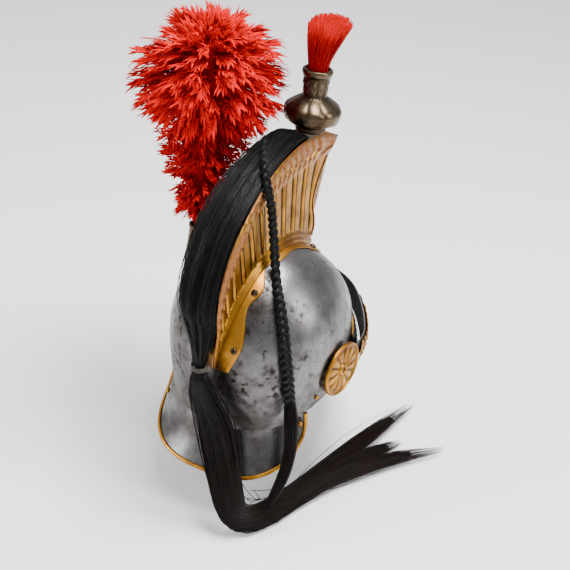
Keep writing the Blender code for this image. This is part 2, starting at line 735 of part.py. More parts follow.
def strap_track(count, first=-1.0, last=1.0):
    """The chin strap's middle line and its outward direction, from the right at -1 to the left at 1."""
    places = np.linspace(first, last, count)
    rows = smooth(STRAP_ROWS, (1 - np.abs(places)) * (len(STRAP_ROWS) - 1))
    turns = rows[:, 0] * np.sign(places)
    levels = skull_level(rows[:, 1], turns)
    path = np.array([skull_point(turn, level, lift) for turn, level, lift in zip(turns, levels, rows[:, 2])])
    return path, np.array([skull_out(turn, level) for turn, level in zip(turns, levels)])


def ribbon(path, out, half_width, low, high):
    """Sections of a flat strip between two lifts off a path."""
    side, up = frames(path, out)
    half_width = np.broadcast_to(half_width, len(path))[:, None]
    low = np.broadcast_to(low, len(path))[:, None]
    high = np.broadcast_to(high, len(path))[:, None]
    corners = (
        side * half_width + up * low,
        side * half_width + up * 0.6 * high + up * 0.4 * low,
        side * 0.45 * half_width + up * high,
        -side * 0.45 * half_width + up * high,
        -side * half_width + up * 0.6 * high + up * 0.4 * low,
        -side * half_width + up * low,
    )
    return path[:, None] + np.stack(corners, axis=1)


def add_chin_strap():
    path, out = strap_track(25)
    add_loft("chin_strap", ribbon(path, out, 0.5 * STRAP_WIDTH, 0.0, STRAP_THICK), "leather")


def add_chin_scales(name, side):
    """Overlapping brass scales on the strap: each rises to its free edge, then drops to the next."""
    count = 3 * SCALES
    path, out = strap_track(count, side * 0.74, side * 0.36)
    phase = np.arange(count) % 3
    high = np.choose(phase, [1.8, 3.2, 4.2]) * BRASS
    half = np.choose(phase, [0.84, 1.0, 0.90]) * 0.5 * SCALE_WIDTH
    low = STRAP_THICK + GAP
    add_loft(name, ribbon(path, out, half, low, low + high), "brass", 20.0)


def add_strap_ring(name, side):
    """The ring at the upper end of a row of scales."""
    path, out = strap_track(9, side * 0.35, side * 0.25)
    centre = path[4] + out[4] * (STRAP_THICK + 2 * BRASS + GAP)
    along = unit(path[8] - path[0])
    across = np.cross(along, out[4])
    angle = np.linspace(0, 2 * math.pi, 13)[:-1]
    ring = centre + 0.0075 * (np.cos(angle)[:, None] * along + np.sin(angle)[:, None] * across)
    spokes = unit(ring - centre)
    wire = np.arange(6) * math.pi / 3
    section = ring[:, None] + BRASS * (
        np.cos(wire)[None, :, None] * spokes[:, None] + np.sin(wire)[None, :, None] * out[4]
    )
    index = np.arange(12 * 6).reshape(12, 6)
    faces = grid_faces(np.concatenate([index, index[:1]]), True)
    add_solid(name, section.reshape(-1, 3), faces, "steel")


def add_rosette(name, side):
    """A turned disc with a boss, a ring of petals and a raised rim."""
    columns = 2 * ROSETTE_PETALS
    petal = np.cos(np.arange(columns) * math.pi)
    seat = SKULL_HALF_WIDTH + STRAP_THICK + 4 * GAP
    foot = np.array([side * seat, -ROSETTE_AHEAD, ROSETTE_HEIGHT])
    axis = np.array([float(side), math.tan(math.radians(ROSETTE_TURN)), 0.0])
    profile = [(share * ROSETTE_RADIUS, rise * ROSETTE_THICK) for share, rise, _ in ROSETTE_ROWS]
    rings = turned(profile, foot, axis, columns)
    lift = np.array([amount for _, _, amount in ROSETTE_ROWS])[:, None, None] * petal[None, :, None]
    rings = rings + lift * 0.5 * ROSETTE_THICK * unit(axis)
    add_loft(name, rings, "brass", 25.0)


def tulip_frame():
    """The foot and the axis of the tulip, which stands on the crest's rim and leans a little forward."""
    rims = np.array([crest_section(TULIP_AT + step)[0][4] for step in (-0.3, 0.0, 0.3)])
    along = unit(rims[2] - rims[0])
    lean = math.radians(TULIP_TILT)
    axis = np.array([0.0, -math.sin(lean), math.cos(lean)])
    foot = TULIP_ROWS[0][0] * TULIP_RADIUS
    rim = min(crest_section(TULIP_AT)[4], foot)
    touching = math.sqrt(foot**2 - rim**2)
    return rims[1] + axis * (2 * GAP + touching * abs(along @ axis)), axis


def add_tulip():
    foot, axis = tulip_frame()
    profile = [(radius * TULIP_RADIUS, height * TULIP_HEIGHT) for radius, height in TULIP_ROWS]
    add_loft("tulip", turned(profile, foot, axis, 16), "dark_brass", 30.0)


def add_brush():
    """The brush's bound root in the tulip's bore, and its hair spreading above the lip."""
    foot, axis = tulip_frame()
    lip = foot + axis * TULIP_HEIGHT
    bore = 0.375 * TULIP_RADIUS - GAP
    plug = turned([(bore, -BRUSH_PLUG), (bore, 0.0)], lip, axis, 16)
    hair = []
    for share, radius in BRUSH_ROWS:
        bend = np.array([0.0, -BRUSH_BEND * share**2, 0.0])
        ring = turned([(radius * BRUSH_RADIUS, share * BRUSH_LENGTH)], lip + bend, axis, 16)[0]
        middle = ring.mean(axis=0)
        strands = 1 - 0.14 * share * (np.arange(16) % 2)
        hair.append(middle + (ring - middle) * strands[:, None])
    add_loft("brush", np.concatenate([plug, np.array(hair)]), "red_hair")


def tie_place():
    """The middle of the tie's upper end, behind the skull."""
    return np.array([0.0, SKULL_REAR + TIE_OUT, SKULL_BELLY + TIE_RISE])


def mane_section(station, rise, reach, drop):
    """The mane's outline at a station: rooted in the gutter, over the rim and down the left side."""
    section = crest_section(station)
    _, steps, _, _, rim, _ = section
    top = steps[-1]
    gutter = min(GUTTER, 0.3 * top)
    root = rim - 1.6 * BRASS - SEAT
    floor = -gutter + 2 * SEAT
    wall = rim + 2.4 * BRASS
    outline = (
        (floor, -root),
        (SEAT, -root),
        (0.45 * rise, -0.95 * root),
        (0.60 * rise, -0.65 * root),
        (0.98 * rise, -0.30 * root),
        (0.84 * rise, 0.15 * root),
        (1.05 * rise, 0.2 * reach),
        (0.80 * rise, 0.45 * reach),
        (0.86 * rise, 0.66 * reach),
        (0.45 * rise - 0.2 * drop, 0.86 * reach),
        (0.20 * rise - 0.4 * drop, 1.04 * reach),
        (-0.60 * drop, 0.93 * reach),
        (-0.85 * drop, 0.95 * reach),
        (-drop, 0.78 * reach),
        (-0.80 * drop, wall + 0.22 * (reach - wall)),
        (-0.30 * drop, wall),
        (2 * SEAT + 0.1 * rise, wall),
        (2 * SEAT + 0.1 * rise, root),
        (floor, root),
    )
    return [crest_point(section, top + length, x) for length, x in outline]


def add_mane():
    """The horsehair from the crest's gutter, laid to the left and drawn together at the tie."""
    rows = np.array(MANE_ROWS)
    places = smooth(rows, np.linspace(0, len(rows) - 1, 17))
    sections = [
        mane_section(station, rise * MANE_RISE, reach * MANE_REACH, drop * MANE_REACH)
        for station, rise, reach, drop in places
    ]
    last = np.array(sections[-1])
    count = last.shape[0]
    tie = tie_place()
    start = last.mean(axis=0)
    offsets = last - start
    for share, size in ((0.33, 0.80), (0.66, 0.58), (0.88, 0.42)):
        sections.append(start + (tie - start) * share + offsets * size)
    angle = np.arange(count) * 2 * math.pi / count
    first = math.atan2(offsets[0] @ np.array([0.0, 0.7, 0.7]), offsets[0][0])
    neck = np.stack([np.cos(first - angle), np.sin(first - angle), np.zeros(count)], axis=-1)
    sections.append(tie + 0.78 * TIE_RADIUS * neck)
    add_loft("mane", sections, "black_hair")


def add_tie():
    """The cord wound round the hair where the mane becomes its tail."""
    low = tie_place() - np.array([0.0, 0.0, TIE_WIDTH])
    neck = 0.6 * TIE_RADIUS
    profile = (
        (neck, GAP),
        (TIE_RADIUS, 0.1 * TIE_WIDTH),
        (TIE_RADIUS, 0.8 * TIE_WIDTH),
        (neck, 0.9 * TIE_WIDTH),
    )
    add_loft("mane_tie", turned(profile, low, (0.0, 0.0, 1.0), 12), "cord")


def join(target, others):
    """Boolean unions that make the hidden others one body with the target."""
    for other in others:
        other.hide_render = True
        other.display_type = "WIRE"
        union = target.modifiers.new(f"join_{other.name}", "BOOLEAN")
        union.operation = "UNION"
        union.solver = "EXACT"
        union.object = other


def hung(rows):
    """Places of hanging hair: shares to the right, behind and up, in the sizes they follow."""
    return np.asarray(rows, float) * np.array([-GUARD_HALF_WIDTH, GUARD_BACK, TAIL_DROP])


def add_tail():
    """The mane's tail: down over the neck guard, then laid round to the right in three locks."""
    top = tie_place() - np.array([0.0, 0.0, TIE_WIDTH + 2 * SEAT])
    rows = np.array(TAIL_ROWS)
    knots = np.concatenate([top[None], hung(rows[:, :3])])
    halves = np.concatenate([[[TIE_RADIUS, 0.9 * TIE_RADIUS]], rows[:, 3:] * TAIL_HALF_WIDTH])
    rows = smooth(np.concatenate([knots, halves], axis=1), np.linspace(0, len(knots) - 1, 19))
    share = np.linspace(0, 1, len(rows))[:, None]
    out = rows[:, :3] * np.array([1.0, 1.0, 0.0]) * (1 - share) + np.array([0.0, 0.0, TAIL_DROP]) * share
    sections = ring_sections(rows[:, :3], out, rows[:, 3], rows[:, 4], 12, 0.16)
    tail = add_loft("mane_tail", sections, "black_hair", 60.0)
    half = np.array([0.60, 0.95, 1.0, 0.95, 0.75, 0.48, 0.12]) * LOCK_HALF_WIDTH
    locks = []
    for number, spine in enumerate(TIP_ROWS):
        path = smooth(hung(spine), np.linspace(0, len(spine) - 1, len(half)))
        sections = ring_sections(path, np.array([0.0, 0.0, 1.0]), half, 0.62 * half, 8, 0.12)
        locks.append(add_loft(f"tail_lock_{number}", sections, "black_hair", 60.0))
    join(tail, locks)


def braid_spine():
    """The braid's line, from its root in the mane over the crest's side and down the skull."""
    spine = []
    for station, share, side in BRAID_ON_CREST:
        section = crest_section(station)
        spine.append(crest_point(section, share * section[1][4], -side * CREST_HALF_WIDTH))
    spine += [skull_point(-turn, level, lift * BRAID_RADIUS) for turn, level, lift in BRAID_ON_SKULL]
    return np.array(spine)


def add_braid():
    spine = braid_spine()
    path = smooth(spine, np.linspace(0, len(spine) - 1, 31))
    width = BRAID_RADIUS * np.linspace(0.62, 1.0, len(path)) * (1 - 0.16 * (np.arange(len(path)) % 2))
    out = path * np.array([1.0, 0.6, 0.0]) - np.array([0.4 * SKULL_HALF_WIDTH, 0.0, 0.0])
    add_loft("braid", ring_sections(path, out, width, 0.7 * width, 6), "black_hair", 60.0)


def add_braid_end():
    spine = braid_spine()
    along = unit(spine[-1] - spine[-2])
    first, second = spine[-1] + along * 1.5 * SEAT, spine[-1] + along * BRAID_RADIUS
    rows = np.array(BRAID_END_ROWS)
    rows = np.concatenate([hung(rows[:, :3]), rows[:, 3:] * BRAID_RADIUS], axis=1)
    rows = np.concatenate([[[*first, 0.7 * BRAID_RADIUS], [*second, 0.85 * BRAID_RADIUS]], rows])
    rows = smooth(rows, np.linspace(0, len(rows) - 1, 12))
    out = rows[:, :3] * np.array([1.0, 1.0, 0.0])
    sections = ring_sections(rows[:, :3], out, rows[:, 3], 0.55 * rows[:, 3], 8, 0.14)
    add_loft("braid_end", sections, "black_hair", 60.0)


def holder_ends():
    """The foot and the top of the plume's holder, a tube that stands off the skull's left side."""
    foot = skull_point(HOLDER_TURN, HOLDER_LEVEL, 0.5 * HOLDER_RADIUS + SEAT)
    lean = math.radians(HOLDER_LEAN)
    return foot, foot + HOLDER_LENGTH * np.array([-math.sin(lean), 0.0, math.cos(lean)])


def add_plume_holder():
    """The tube on the left side that the plume's stem stands in, open at its top."""
    foot, top = holder_ends()
    length = HOLDER_LENGTH
    bore = HOLDER_RADIUS - BRASS
    profile = (
        (0.75 * HOLDER_RADIUS, 0.0),
        (HOLDER_RADIUS, 0.06 * length),
        (HOLDER_RADIUS, 0.93 * length),
        (1.15 * HOLDER_RADIUS, 0.95 * length),
        (1.15 * HOLDER_RADIUS, length),
        (bore, length),
        (bore, 0.2 * length),
    )
    add_loft("plume_holder", turned(profile, foot, top - foot, 12), "dark_brass")


def add_plume():
    """Feathers in tufts round a stem whose foot stands in the holder."""
    foot, top = holder_ends()
    up = unit(top - foot)
    columns = 20
    rings = []
    for number, (height, radius, lean) in enumerate(PLUME_ROWS):
        rise = height * PLUME_HEIGHT - PLUME_STEM
        shift = np.array([PLUME_OUT * lean, -PLUME_LEAN * lean, max(rise, 0.0)])
        centre = top + up * min(rise, 0.0) + shift
        tuft = 1 - 0.13 * ((np.arange(columns) // 2 + number) % 2) * min(1.0, 4 * radius**2)
        ring = turned([(radius * PLUME_RADIUS, 0.0)], centre, (0.0, 0.0, 1.0), columns)[0]
        rings.append(centre + (ring - centre) * tuft[:, None])
    add_loft("plume", rings, "red_feather", 60.0)


def add_dome(name, spot, out, radius, look, sides=8):
    """A low round head on the surface at a spot."""
    spot = spot + out * GAP
    profile = ((radius, 0.0), (0.94 * radius, 0.35 * radius), (0.55 * radius, 0.72 * radius))
    add_loft(name, turned(profile, spot, out, sides), look, 60.0)


def add_rivets():
    turn, height = SKULL_RIVET
    for side, label in ((-1, "right"), (1, "left")):
        level = skull_level(height, turn)
        spot = skull_point(side * turn, level)
        add_dome(f"skull_rivet_{label}", spot, skull_out(side * turn, level), RIVET_RADIUS, "brass")
        for number, (across, down) in enumerate(GUARD_RIVETS):
            near = np.array([-0.02, 0.0, 0.02])
            patch = guard_grid(side * (across + near), down + near)
            out = grid_out(patch)[1, 1]
            out = out if out @ patch[1, 1] > 0 else -out
            spot = patch[1, 1] + out * (0.5 * STEEL + GAP)
            add_dome(f"guard_rivet_{number}_{label}", spot, out, RIVET_RADIUS, "brass")


def flange_spot(station, share):
    """A point on the right half of the flange's face, at a share of the way out to its edge."""
    edge, foot = crest_outline(station, 0.0)[:2]
    half = crest_section(station)[2]
    return foot + (edge - foot) * (share * half - foot[0]) / (edge[0] - foot[0])


def add_screws():
    """Screws through the lobes of the crest's flange."""
    for number, (station, share) in enumerate(SCREW_ROWS):
        spot = flange_spot(station, share)
        ahead = flange_spot(station + 0.1, share)
        beside = flange_spot(station, 0.9 * share)
        out = unit(np.cross(ahead - spot, beside - spot))
        out = out if out @ (spot - np.array([0.0, 0.0, SKULL_BELLY])) > 0 else -out
        for side, label in ((-1.0, "right"), (1.0, "left")):
            turn = np.array([side, 1.0, 1.0])
            name = f"crest_screw_{number}_{label}"
            add_dome(name, (spot + out * GAP) * turn, out * turn, SCREW_RADIUS, "brass")


def main():
    for leftover in list(bpy.data.objects):
        bpy.data.objects.remove(leftover)
    add_skull()
    add_neck_guard()
    add_guard_binding()
    add_peak()
    add_peak_binding()
    add_turban()
    add_turban_piping()
    add_crest()
    add_crest_front()
    add_tulip()
    add_brush()
    add_mane()
    add_tie()
    add_tail()
    add_braid()
    add_braid_end()
    add_plume_holder()
    add_plume()
    add_chin_strap()
    for side, label in ((-1, "right"), (1, "left")):
        add_chin_scales(f"chin_scales_{label}", side)
        add_strap_ring(f"strap_ring_{label}", side)
        add_rosette(f"rosette_{label}", side)
    add_rivets()
    add_screws()


main()
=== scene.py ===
import math

import bmesh
import bpy
import numpy as np
from mathutils import Matrix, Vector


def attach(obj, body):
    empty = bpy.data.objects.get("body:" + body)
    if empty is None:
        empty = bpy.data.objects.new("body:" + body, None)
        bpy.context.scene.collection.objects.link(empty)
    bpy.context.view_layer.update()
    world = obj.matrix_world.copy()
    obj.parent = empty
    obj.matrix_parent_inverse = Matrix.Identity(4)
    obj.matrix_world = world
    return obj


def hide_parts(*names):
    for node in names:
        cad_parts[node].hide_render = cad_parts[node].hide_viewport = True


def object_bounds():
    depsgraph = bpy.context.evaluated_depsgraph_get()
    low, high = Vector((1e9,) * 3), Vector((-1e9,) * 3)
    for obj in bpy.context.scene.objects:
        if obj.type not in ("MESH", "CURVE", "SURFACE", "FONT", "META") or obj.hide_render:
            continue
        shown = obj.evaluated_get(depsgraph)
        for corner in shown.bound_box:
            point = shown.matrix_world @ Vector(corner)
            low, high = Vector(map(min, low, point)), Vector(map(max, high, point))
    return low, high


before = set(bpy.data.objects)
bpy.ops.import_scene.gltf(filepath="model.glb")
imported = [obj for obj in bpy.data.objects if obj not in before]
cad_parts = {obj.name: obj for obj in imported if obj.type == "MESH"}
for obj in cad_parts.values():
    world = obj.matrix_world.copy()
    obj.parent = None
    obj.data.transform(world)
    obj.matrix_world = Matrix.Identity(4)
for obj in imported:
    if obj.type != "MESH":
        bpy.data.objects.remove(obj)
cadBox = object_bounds()
dice = np.random.default_rng(1811)
xAxis, zUp, flatOnly = np.array([1.0, 0.0, 0.0]), np.array([0.0, 0.0, 1.0]), np.array([1.0, 1.0, 0.0])
# thickness of sheet brass, air between pieces, and air where one rests on another
brass, gap, seat = 0.0012, 0.0003, 0.0006
print("frame loaded:", len(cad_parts), "nodes")


# Shape helpers for every piece

def unit(vectors):
    # each vector divided by its own length
    return vectors / np.maximum(np.linalg.norm(vectors, axis=-1, keepdims=True), 1e-12)


def scaled(vectors, amounts):
    # each vector times its own amount
    return vectors * np.asarray(amounts)[..., None]


def ramp(value, low, high):
    # how far value has come from low to high, from 0 to 1 and held at both ends
    return np.clip((value - low) / (high - low), 0, 1)


def circle(count):
    # angles that share out one full turn
    return np.arange(count) * 2 * np.pi / count


def eased(start, end, leave, arrive, part):
    # the cubic that goes from start to end and has the given slopes there
    return ((2 * part**3 - 3 * part**2 + 1) * start + (part**3 - 2 * part**2 + part) * leave
            + (3 * part**2 - 2 * part**3) * end + (part**3 - part**2) * arrive)


def smooth(rows, places):
    # rows read at places between them, on cubics whose slopes are half the step between their neighbours
    rows = np.asarray(rows, float)
    places = np.clip(np.asarray(places, float), 0, len(rows) - 1)
    first = np.minimum(places.astype(int), len(rows) - 2)
    slopes = np.gradient(rows, axis=0)
    return eased(rows[first], rows[first + 1], slopes[first], slopes[first + 1], (places - first)[..., None])


def evenRows(rows, count):
    # so many rows read at even steps from the first to the last
    return smooth(rows, np.linspace(0, len(rows) - 1, count))


def gridFaces(index, closed=False):
    # one quad from each point, the point on its right, and the two in the next row
    right = np.roll(index, -1, axis=1) if closed else index[:, 1:]
    left = index if closed else index[:, :-1]
    return np.stack([left[:-1], right[:-1], right[1:], left[1:]], axis=-1).reshape(-1, 4)


def loft(sections):
    # closed rings one after another, and a cap on each end
    index = np.arange(sections.shape[0] * sections.shape[1]).reshape(sections.shape[:2])
    return sections.reshape(-1, 3), [gridFaces(index, True), index[:1, ::-1], index[-1:]]


def sheet(face, back, closed=False):
    # a grid and its back joined round the edge; a closed one ends in a crown of one point each
    rows, columns = face.shape[:2]
    front = np.arange(rows * columns).reshape(rows, columns)
    rear = front + rows * columns
    points = [face.reshape(-1, 3), back.reshape(-1, 3)]
    faces = [gridFaces(front, closed), gridFaces(rear, closed)[:, ::-1],
             gridFaces(np.stack([rear[0], front[0]]), closed)]
    if closed:
        pole = 2 * rows * columns
        points += [face[-1].mean(axis=0)[None], back[-1].mean(axis=0)[None]]
        for row, tip, turn in ((front[-1], pole, 1), (rear[-1], pole + 1, -1)):
            faces.append(np.stack([row, np.roll(row, -1), np.full(columns, tip)], axis=-1)[:, ::turn])
    else:
        faces += [gridFaces(np.stack(pair)) for pair in
                  ((front[-1], rear[-1]), (front[:, 0], rear[:, 0]), (rear[:, -1], front[:, -1]))]
    return np.concatenate(points), faces


def turnedShape(profile, foot, axis, sides):
    # for each row a ring about the axis: its radius times the spokes, and its height along the axis
    side = unit(np.cross(axis, (0.0, 1.0, 0.0) if abs(axis[1]) < 0.9 else zUp))
    spokes = scaled(side, np.cos(circle(sides))) + scaled(np.cross(axis, side), np.sin(circle(sides)))
    profile = np.asarray(profile, float)
    return foot + profile[:, :1, None] * spokes + profile[:, 1:, None] * axis


def framesAlong(paths, facing):
    # side is facing crossed with the path's direction, and over is that direction crossed with side
    along = unit(np.gradient(paths, axis=-2))
    side = unit(np.cross(np.broadcast_to(facing, paths.shape), along))
    return side, np.cross(along, side)


def strands(paths, facing, halfWidth, halfThick, sides=3):
    # many tubes at once: the path, plus side and over times a ring's cosine and sine, capped at both ends
    count, steps = paths.shape[:2]
    side, over = framesAlong(paths, facing)
    wide, thick = (np.broadcast_to(half, (count, steps))[..., None] for half in (halfWidth, halfThick))
    ring = (paths[:, :, None] + scaled(side[:, :, None], wide * np.cos(circle(sides)))
            + scaled(over[:, :, None], thick * np.sin(circle(sides))))
    index = np.arange(count * steps * sides).reshape(count, steps, sides)
    ahead = np.roll(index, -1, axis=2)
    quads = np.stack([index[:, :-1], ahead[:, :-1], ahead[:, 1:], index[:, 1:]], axis=-1).reshape(-1, 4)
    return ring.reshape(-1, 3), [quads, index[:, 0, ::-1], index[:, -1]]


def taper(half, places, sizes, steps):
    # a strand's half width at each step: half times the sizes, read in straight lines between the places
    return half * np.interp(np.linspace(0, 1, steps), places, sizes)[None]


def hairValues(before, paths, share, tint=None, coreTint=0.0, coreShare=0.0):
    # the points before the strands take the core's values; each strand has a tint, and share runs to its tip
    count, steps = paths.shape[:2]
    tint = dice.uniform(0, 1, count) if tint is None else tint
    return {"tint": np.append(np.full(before, coreTint), np.repeat(tint, 3 * steps)),
            "share": np.append(np.full(before, coreShare), np.repeat(share + np.zeros((count, steps)), 3))}


def together(shells):
    # several shells in one mesh: each one's corners moved on by the points before it
    points, faces, start = [], [], 0
    for part, sides in shells:
        points.append(part)
        faces += [side + start for side in sides]
        start += len(part)
    return np.concatenate(points), faces


def makePiece(name, shell, finish, replaced=(), values=None, crease=None):
    # whole arrays into one mesh, edges over the crease angle left sharp, and the piece rides on the helmet
    points, faces = shell
    corners = np.concatenate([part.reshape(-1) for part in faces]).astype(np.int32)
    sizes = np.concatenate([np.full(len(part), part.shape[1]) for part in faces])
    starts = np.concatenate([[0], np.cumsum(sizes)[:-1]]).astype(np.int32)
    mesh = bpy.data.meshes.new(name)
    mesh.vertices.add(len(points))
    mesh.vertices.foreach_set("co", np.ascontiguousarray(points, np.float32).reshape(-1))
    mesh.loops.add(len(corners))
    mesh.loops.foreach_set("vertex_index", corners)
    mesh.polygons.add(len(sizes))
    mesh.polygons.foreach_set("loop_start", starts)
    for key, value in (values or {}).items():
        spread = np.ascontiguousarray(np.broadcast_to(value, len(points)), np.float32)
        mesh.attributes.new(key, "FLOAT", "POINT").data.foreach_set("value", spread)
    mesh.update(calc_edges=True)
    if crease:                                  # hair already faces outwards
        shape = bmesh.new()
        shape.from_mesh(mesh)
        bmesh.ops.recalc_face_normals(shape, faces=shape.faces)
        shape.to_mesh(mesh)
        shape.free()
    mesh.shade_smooth()
    if crease:
        mesh.set_sharp_from_angle(angle=math.radians(crease))
    mesh.materials.append(finishes[finish])
    piece = bpy.data.objects.new(name, mesh)
    bpy.context.scene.collection.objects.link(piece)
    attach(piece, "root")
    if replaced:
        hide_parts(*replaced)
    print(name, "made,", int((sizes - 2).sum()), "triangles")


# Materials: all patterns read Object coordinates or the piece's own point values

def startMaterial(name, metallic, roughness):
    # a plain shader with even metallic and roughness, and the surface's own coordinates
    material = bpy.data.materials.new(name)
    material.use_nodes = True
    tree = material.node_tree
    shader = tree.nodes["Principled BSDF"]
    shader.inputs["Metallic"].default_value = metallic
    shader.inputs["Roughness"].default_value = roughness
    return material, tree, shader, addNode(tree, "ShaderNodeTexCoord").outputs["Object"]


def addNode(tree, kind, links=None, **settings):
    # a node with its settings; each input takes another node's output or a plain value
    node = tree.nodes.new(kind)
    for key, value in settings.items():
        setattr(node, key, value)
    for socket, source in (links or {}).items():
        if isinstance(source, bpy.types.NodeSocket):
            tree.links.new(source, node.inputs[socket])
        else:
            node.inputs[socket].default_value = source
    return node


def noise(tree, place, scale, detail=5.0, rough=0.55):
    # noise of scale lumps a metre, with detail finer layers, each rough times as strong as the last
    links = {"Vector": place, "Scale": scale, "Detail": detail, "Roughness": rough}
    return addNode(tree, "ShaderNodeTexNoise", links).outputs["Fac"]


def pointValue(tree, key):
    # a value that the mesh holds for each point
    return addNode(tree, "ShaderNodeAttribute", attribute_name=key).outputs["Fac"]


def between(tree, source, low, high, toLow=0.0, toHigh=1.0):
    # a value moved from one range to another in a straight line, held at its ends
    links = {"Value": source, "From Min": low, "From Max": high, "To Min": toLow, "To Max": toHigh}
    return addNode(tree, "ShaderNodeMapRange", links).outputs["Result"]


def mixed(tree, share, first, second):
    # the second colour by its share, and the first by the rest
    node = addNode(tree, "ShaderNodeMix", {"Factor": share}, data_type="RGBA")
    for socket, colour in ((node.inputs[6], first), (node.inputs[7], second)):
        if isinstance(colour, bpy.types.NodeSocket):
            tree.links.new(colour, socket)
        else:
            socket.default_value = (*colour, 1.0)
    return node.outputs[2]


def calc(tree, operation, first, second):
    # one sum on two values, such as their product
    return addNode(tree, "ShaderNodeMath", {0: first, 1: second}, operation=operation).outputs[0]


def finishShader(tree, shader, colour, roughness=None, height=None, strength=0.0, distance=0.0):
    # colour, roughness and bump linked to the shader
    tree.links.new(colour, shader.inputs["Base Color"])
    if roughness:
        tree.links.new(roughness, shader.inputs["Roughness"])
        bump = addNode(tree, "ShaderNodeBump", {"Height": height, "Strength": strength, "Distance": distance})
        tree.links.new(bump.outputs["Normal"], shader.inputs["Normal"])


def metalFinish(name, look):
    # clean metal clouded by patina, then dark pits, streaks of wear, and grime with painted shade where the
    # piece says so
    material, tree, shader, place = startMaterial(name, 1.0, look["rough"][0])
    cloud = noise(tree, place, look["cloud"], 7.0, 0.62)
    speck = noise(tree, place, look["speck"], 8.0, 0.7)
    colour = mixed(tree, between(tree, cloud, 0.40, 0.66), look["clean"], look["patina"])
    spots = between(tree, speck, look["spots"], look["spots"] + 0.10)
    spots = calc(tree, "MULTIPLY", spots, between(tree, noise(tree, place, 17.0, 4.0), 0.42, 0.62))
    colour = mixed(tree, spots, colour, look["dark"])
    stretch = {"Vector": place, "Scale": (30.0, 30.0, 900.0), "Rotation": (0.5, 0.3, 0.0)}
    scratch = noise(tree, addNode(tree, "ShaderNodeMapping", stretch).outputs["Vector"], 1.0, 3.0)
    colour = mixed(tree, between(tree, scratch, 0.62, 0.78, 0.0, look["scratch"]), colour, look["patina"])
    # the piece's values darken it towards the dark colour: dirt, and painted shade in its hollows and under
    # other parts
    if look.get("grimeAndShade"):
        grimeAndShade = calc(tree, "MULTIPLY", pointValue(tree, "grimeAndShade"), look["grimeAndShade"])
        colour = mixed(tree, grimeAndShade, colour, look["dark"])
    if look.get("band"):                        # copper shows through where the lacquer is worn
        worn = calc(tree, "MULTIPLY", pointValue(tree, "band"), between(tree, cloud, 0.38, 0.56, 0.25, 1.0))
        colour = mixed(tree, worn, colour, look["band"])
    if look.get("low"):                         # darker towards the lower edge
        height = addNode(tree, "ShaderNodeSeparateXYZ", {"Vector": place}).outputs["Z"]
        low = calc(tree, "MULTIPLY", between(tree, height, *look["low"], 1.0, 0.0),
                   between(tree, cloud, 0.35, 0.6, 0.2, 0.9))
        colour = mixed(tree, low, colour, look["patina"])
    rough = calc(tree, "ADD", between(tree, cloud, 0.3, 0.7, *look["rough"]),
                 calc(tree, "MULTIPLY", spots, 0.35))
    relief = calc(tree, "ADD", speck, calc(tree, "MULTIPLY", spots, -1.2))
    finishShader(tree, shader, colour, rough, relief, look["bump"], 0.0006)
    return material


def hairFinish(name, look):
    # each strand's own tint from dark to light, browner towards its tip, and darker in patches
    material, tree, shader, place = startMaterial(name, 0.0, look["rough"])
    colour = mixed(tree, pointValue(tree, "tint"), look["dark"], look["light"])
    tip = between(tree, pointValue(tree, "share"), look["tipFrom"], 1.0, 0.0, look["tipMost"])
    colour = mixed(tree, tip, colour, look["tip"])
    patches = between(tree, noise(tree, place, 60.0), 0.4, 0.65, 0.0, 0.5)
    finishShader(tree, shader, mixed(tree, patches, colour, look["dark"]))
    shader.inputs["Specular IOR Level"].default_value = look["gloss"]
    return material


def hideFinish(name, look):
    # leather with pores, rubbed paler and rougher in patches
    material, tree, shader, place = startMaterial(name, 0.0, look["rough"])
    rubbed = noise(tree, place, 38.0, 6.0)
    colour = mixed(tree, between(tree, rubbed, 0.45, 0.7), look["dark"], look["light"])
    rough = between(tree, rubbed, 0.3, 0.7, look["rough"] - 0.1, look["rough"] + 0.15)
    pores = addNode(tree, "ShaderNodeTexVoronoi", {"Vector": place, "Scale": 900.0}).outputs["Distance"]
    finishShader(tree, shader, colour, rough, pores, 0.5, 0.0004)
    return material


metals = dict(
    wornSteel=dict(slot="steel", clean=(0.205, 0.200, 0.200), patina=(0.038, 0.032, 0.030),
                   dark=(0.014, 0.011, 0.010), cloud=15.0, speck=105.0, spots=0.515, scratch=0.5,
                   rough=(0.23, 0.40), bump=0.3, low=(-0.02, 0.09)),
    agedBrass=dict(slot="brass", clean=(0.46, 0.215, 0.026), patina=(0.18, 0.070, 0.010),
                   dark=(0.045, 0.025, 0.010), cloud=32.0, speck=160.0, spots=0.60, scratch=0.25,
                   rough=(0.26, 0.46), bump=0.22),
    crestBrass=dict(slot="brass", clean=(0.44, 0.200, 0.022), patina=(0.20, 0.074, 0.010),
                    dark=(0.012, 0.008, 0.003), cloud=34.0, speck=170.0, spots=0.62, scratch=0.25,
                    rough=(0.27, 0.48), bump=0.25, grimeAndShade=1.0, band=(0.30, 0.120, 0.044)),
    darkBronze=dict(slot="dark_brass", clean=(0.125, 0.090, 0.056), patina=(0.040, 0.025, 0.013),
                    dark=(0.008, 0.005, 0.003), cloud=42.0, speck=190.0, spots=0.58, scratch=0.3,
                    rough=(0.22, 0.42), bump=0.3, grimeAndShade=0.9),
)
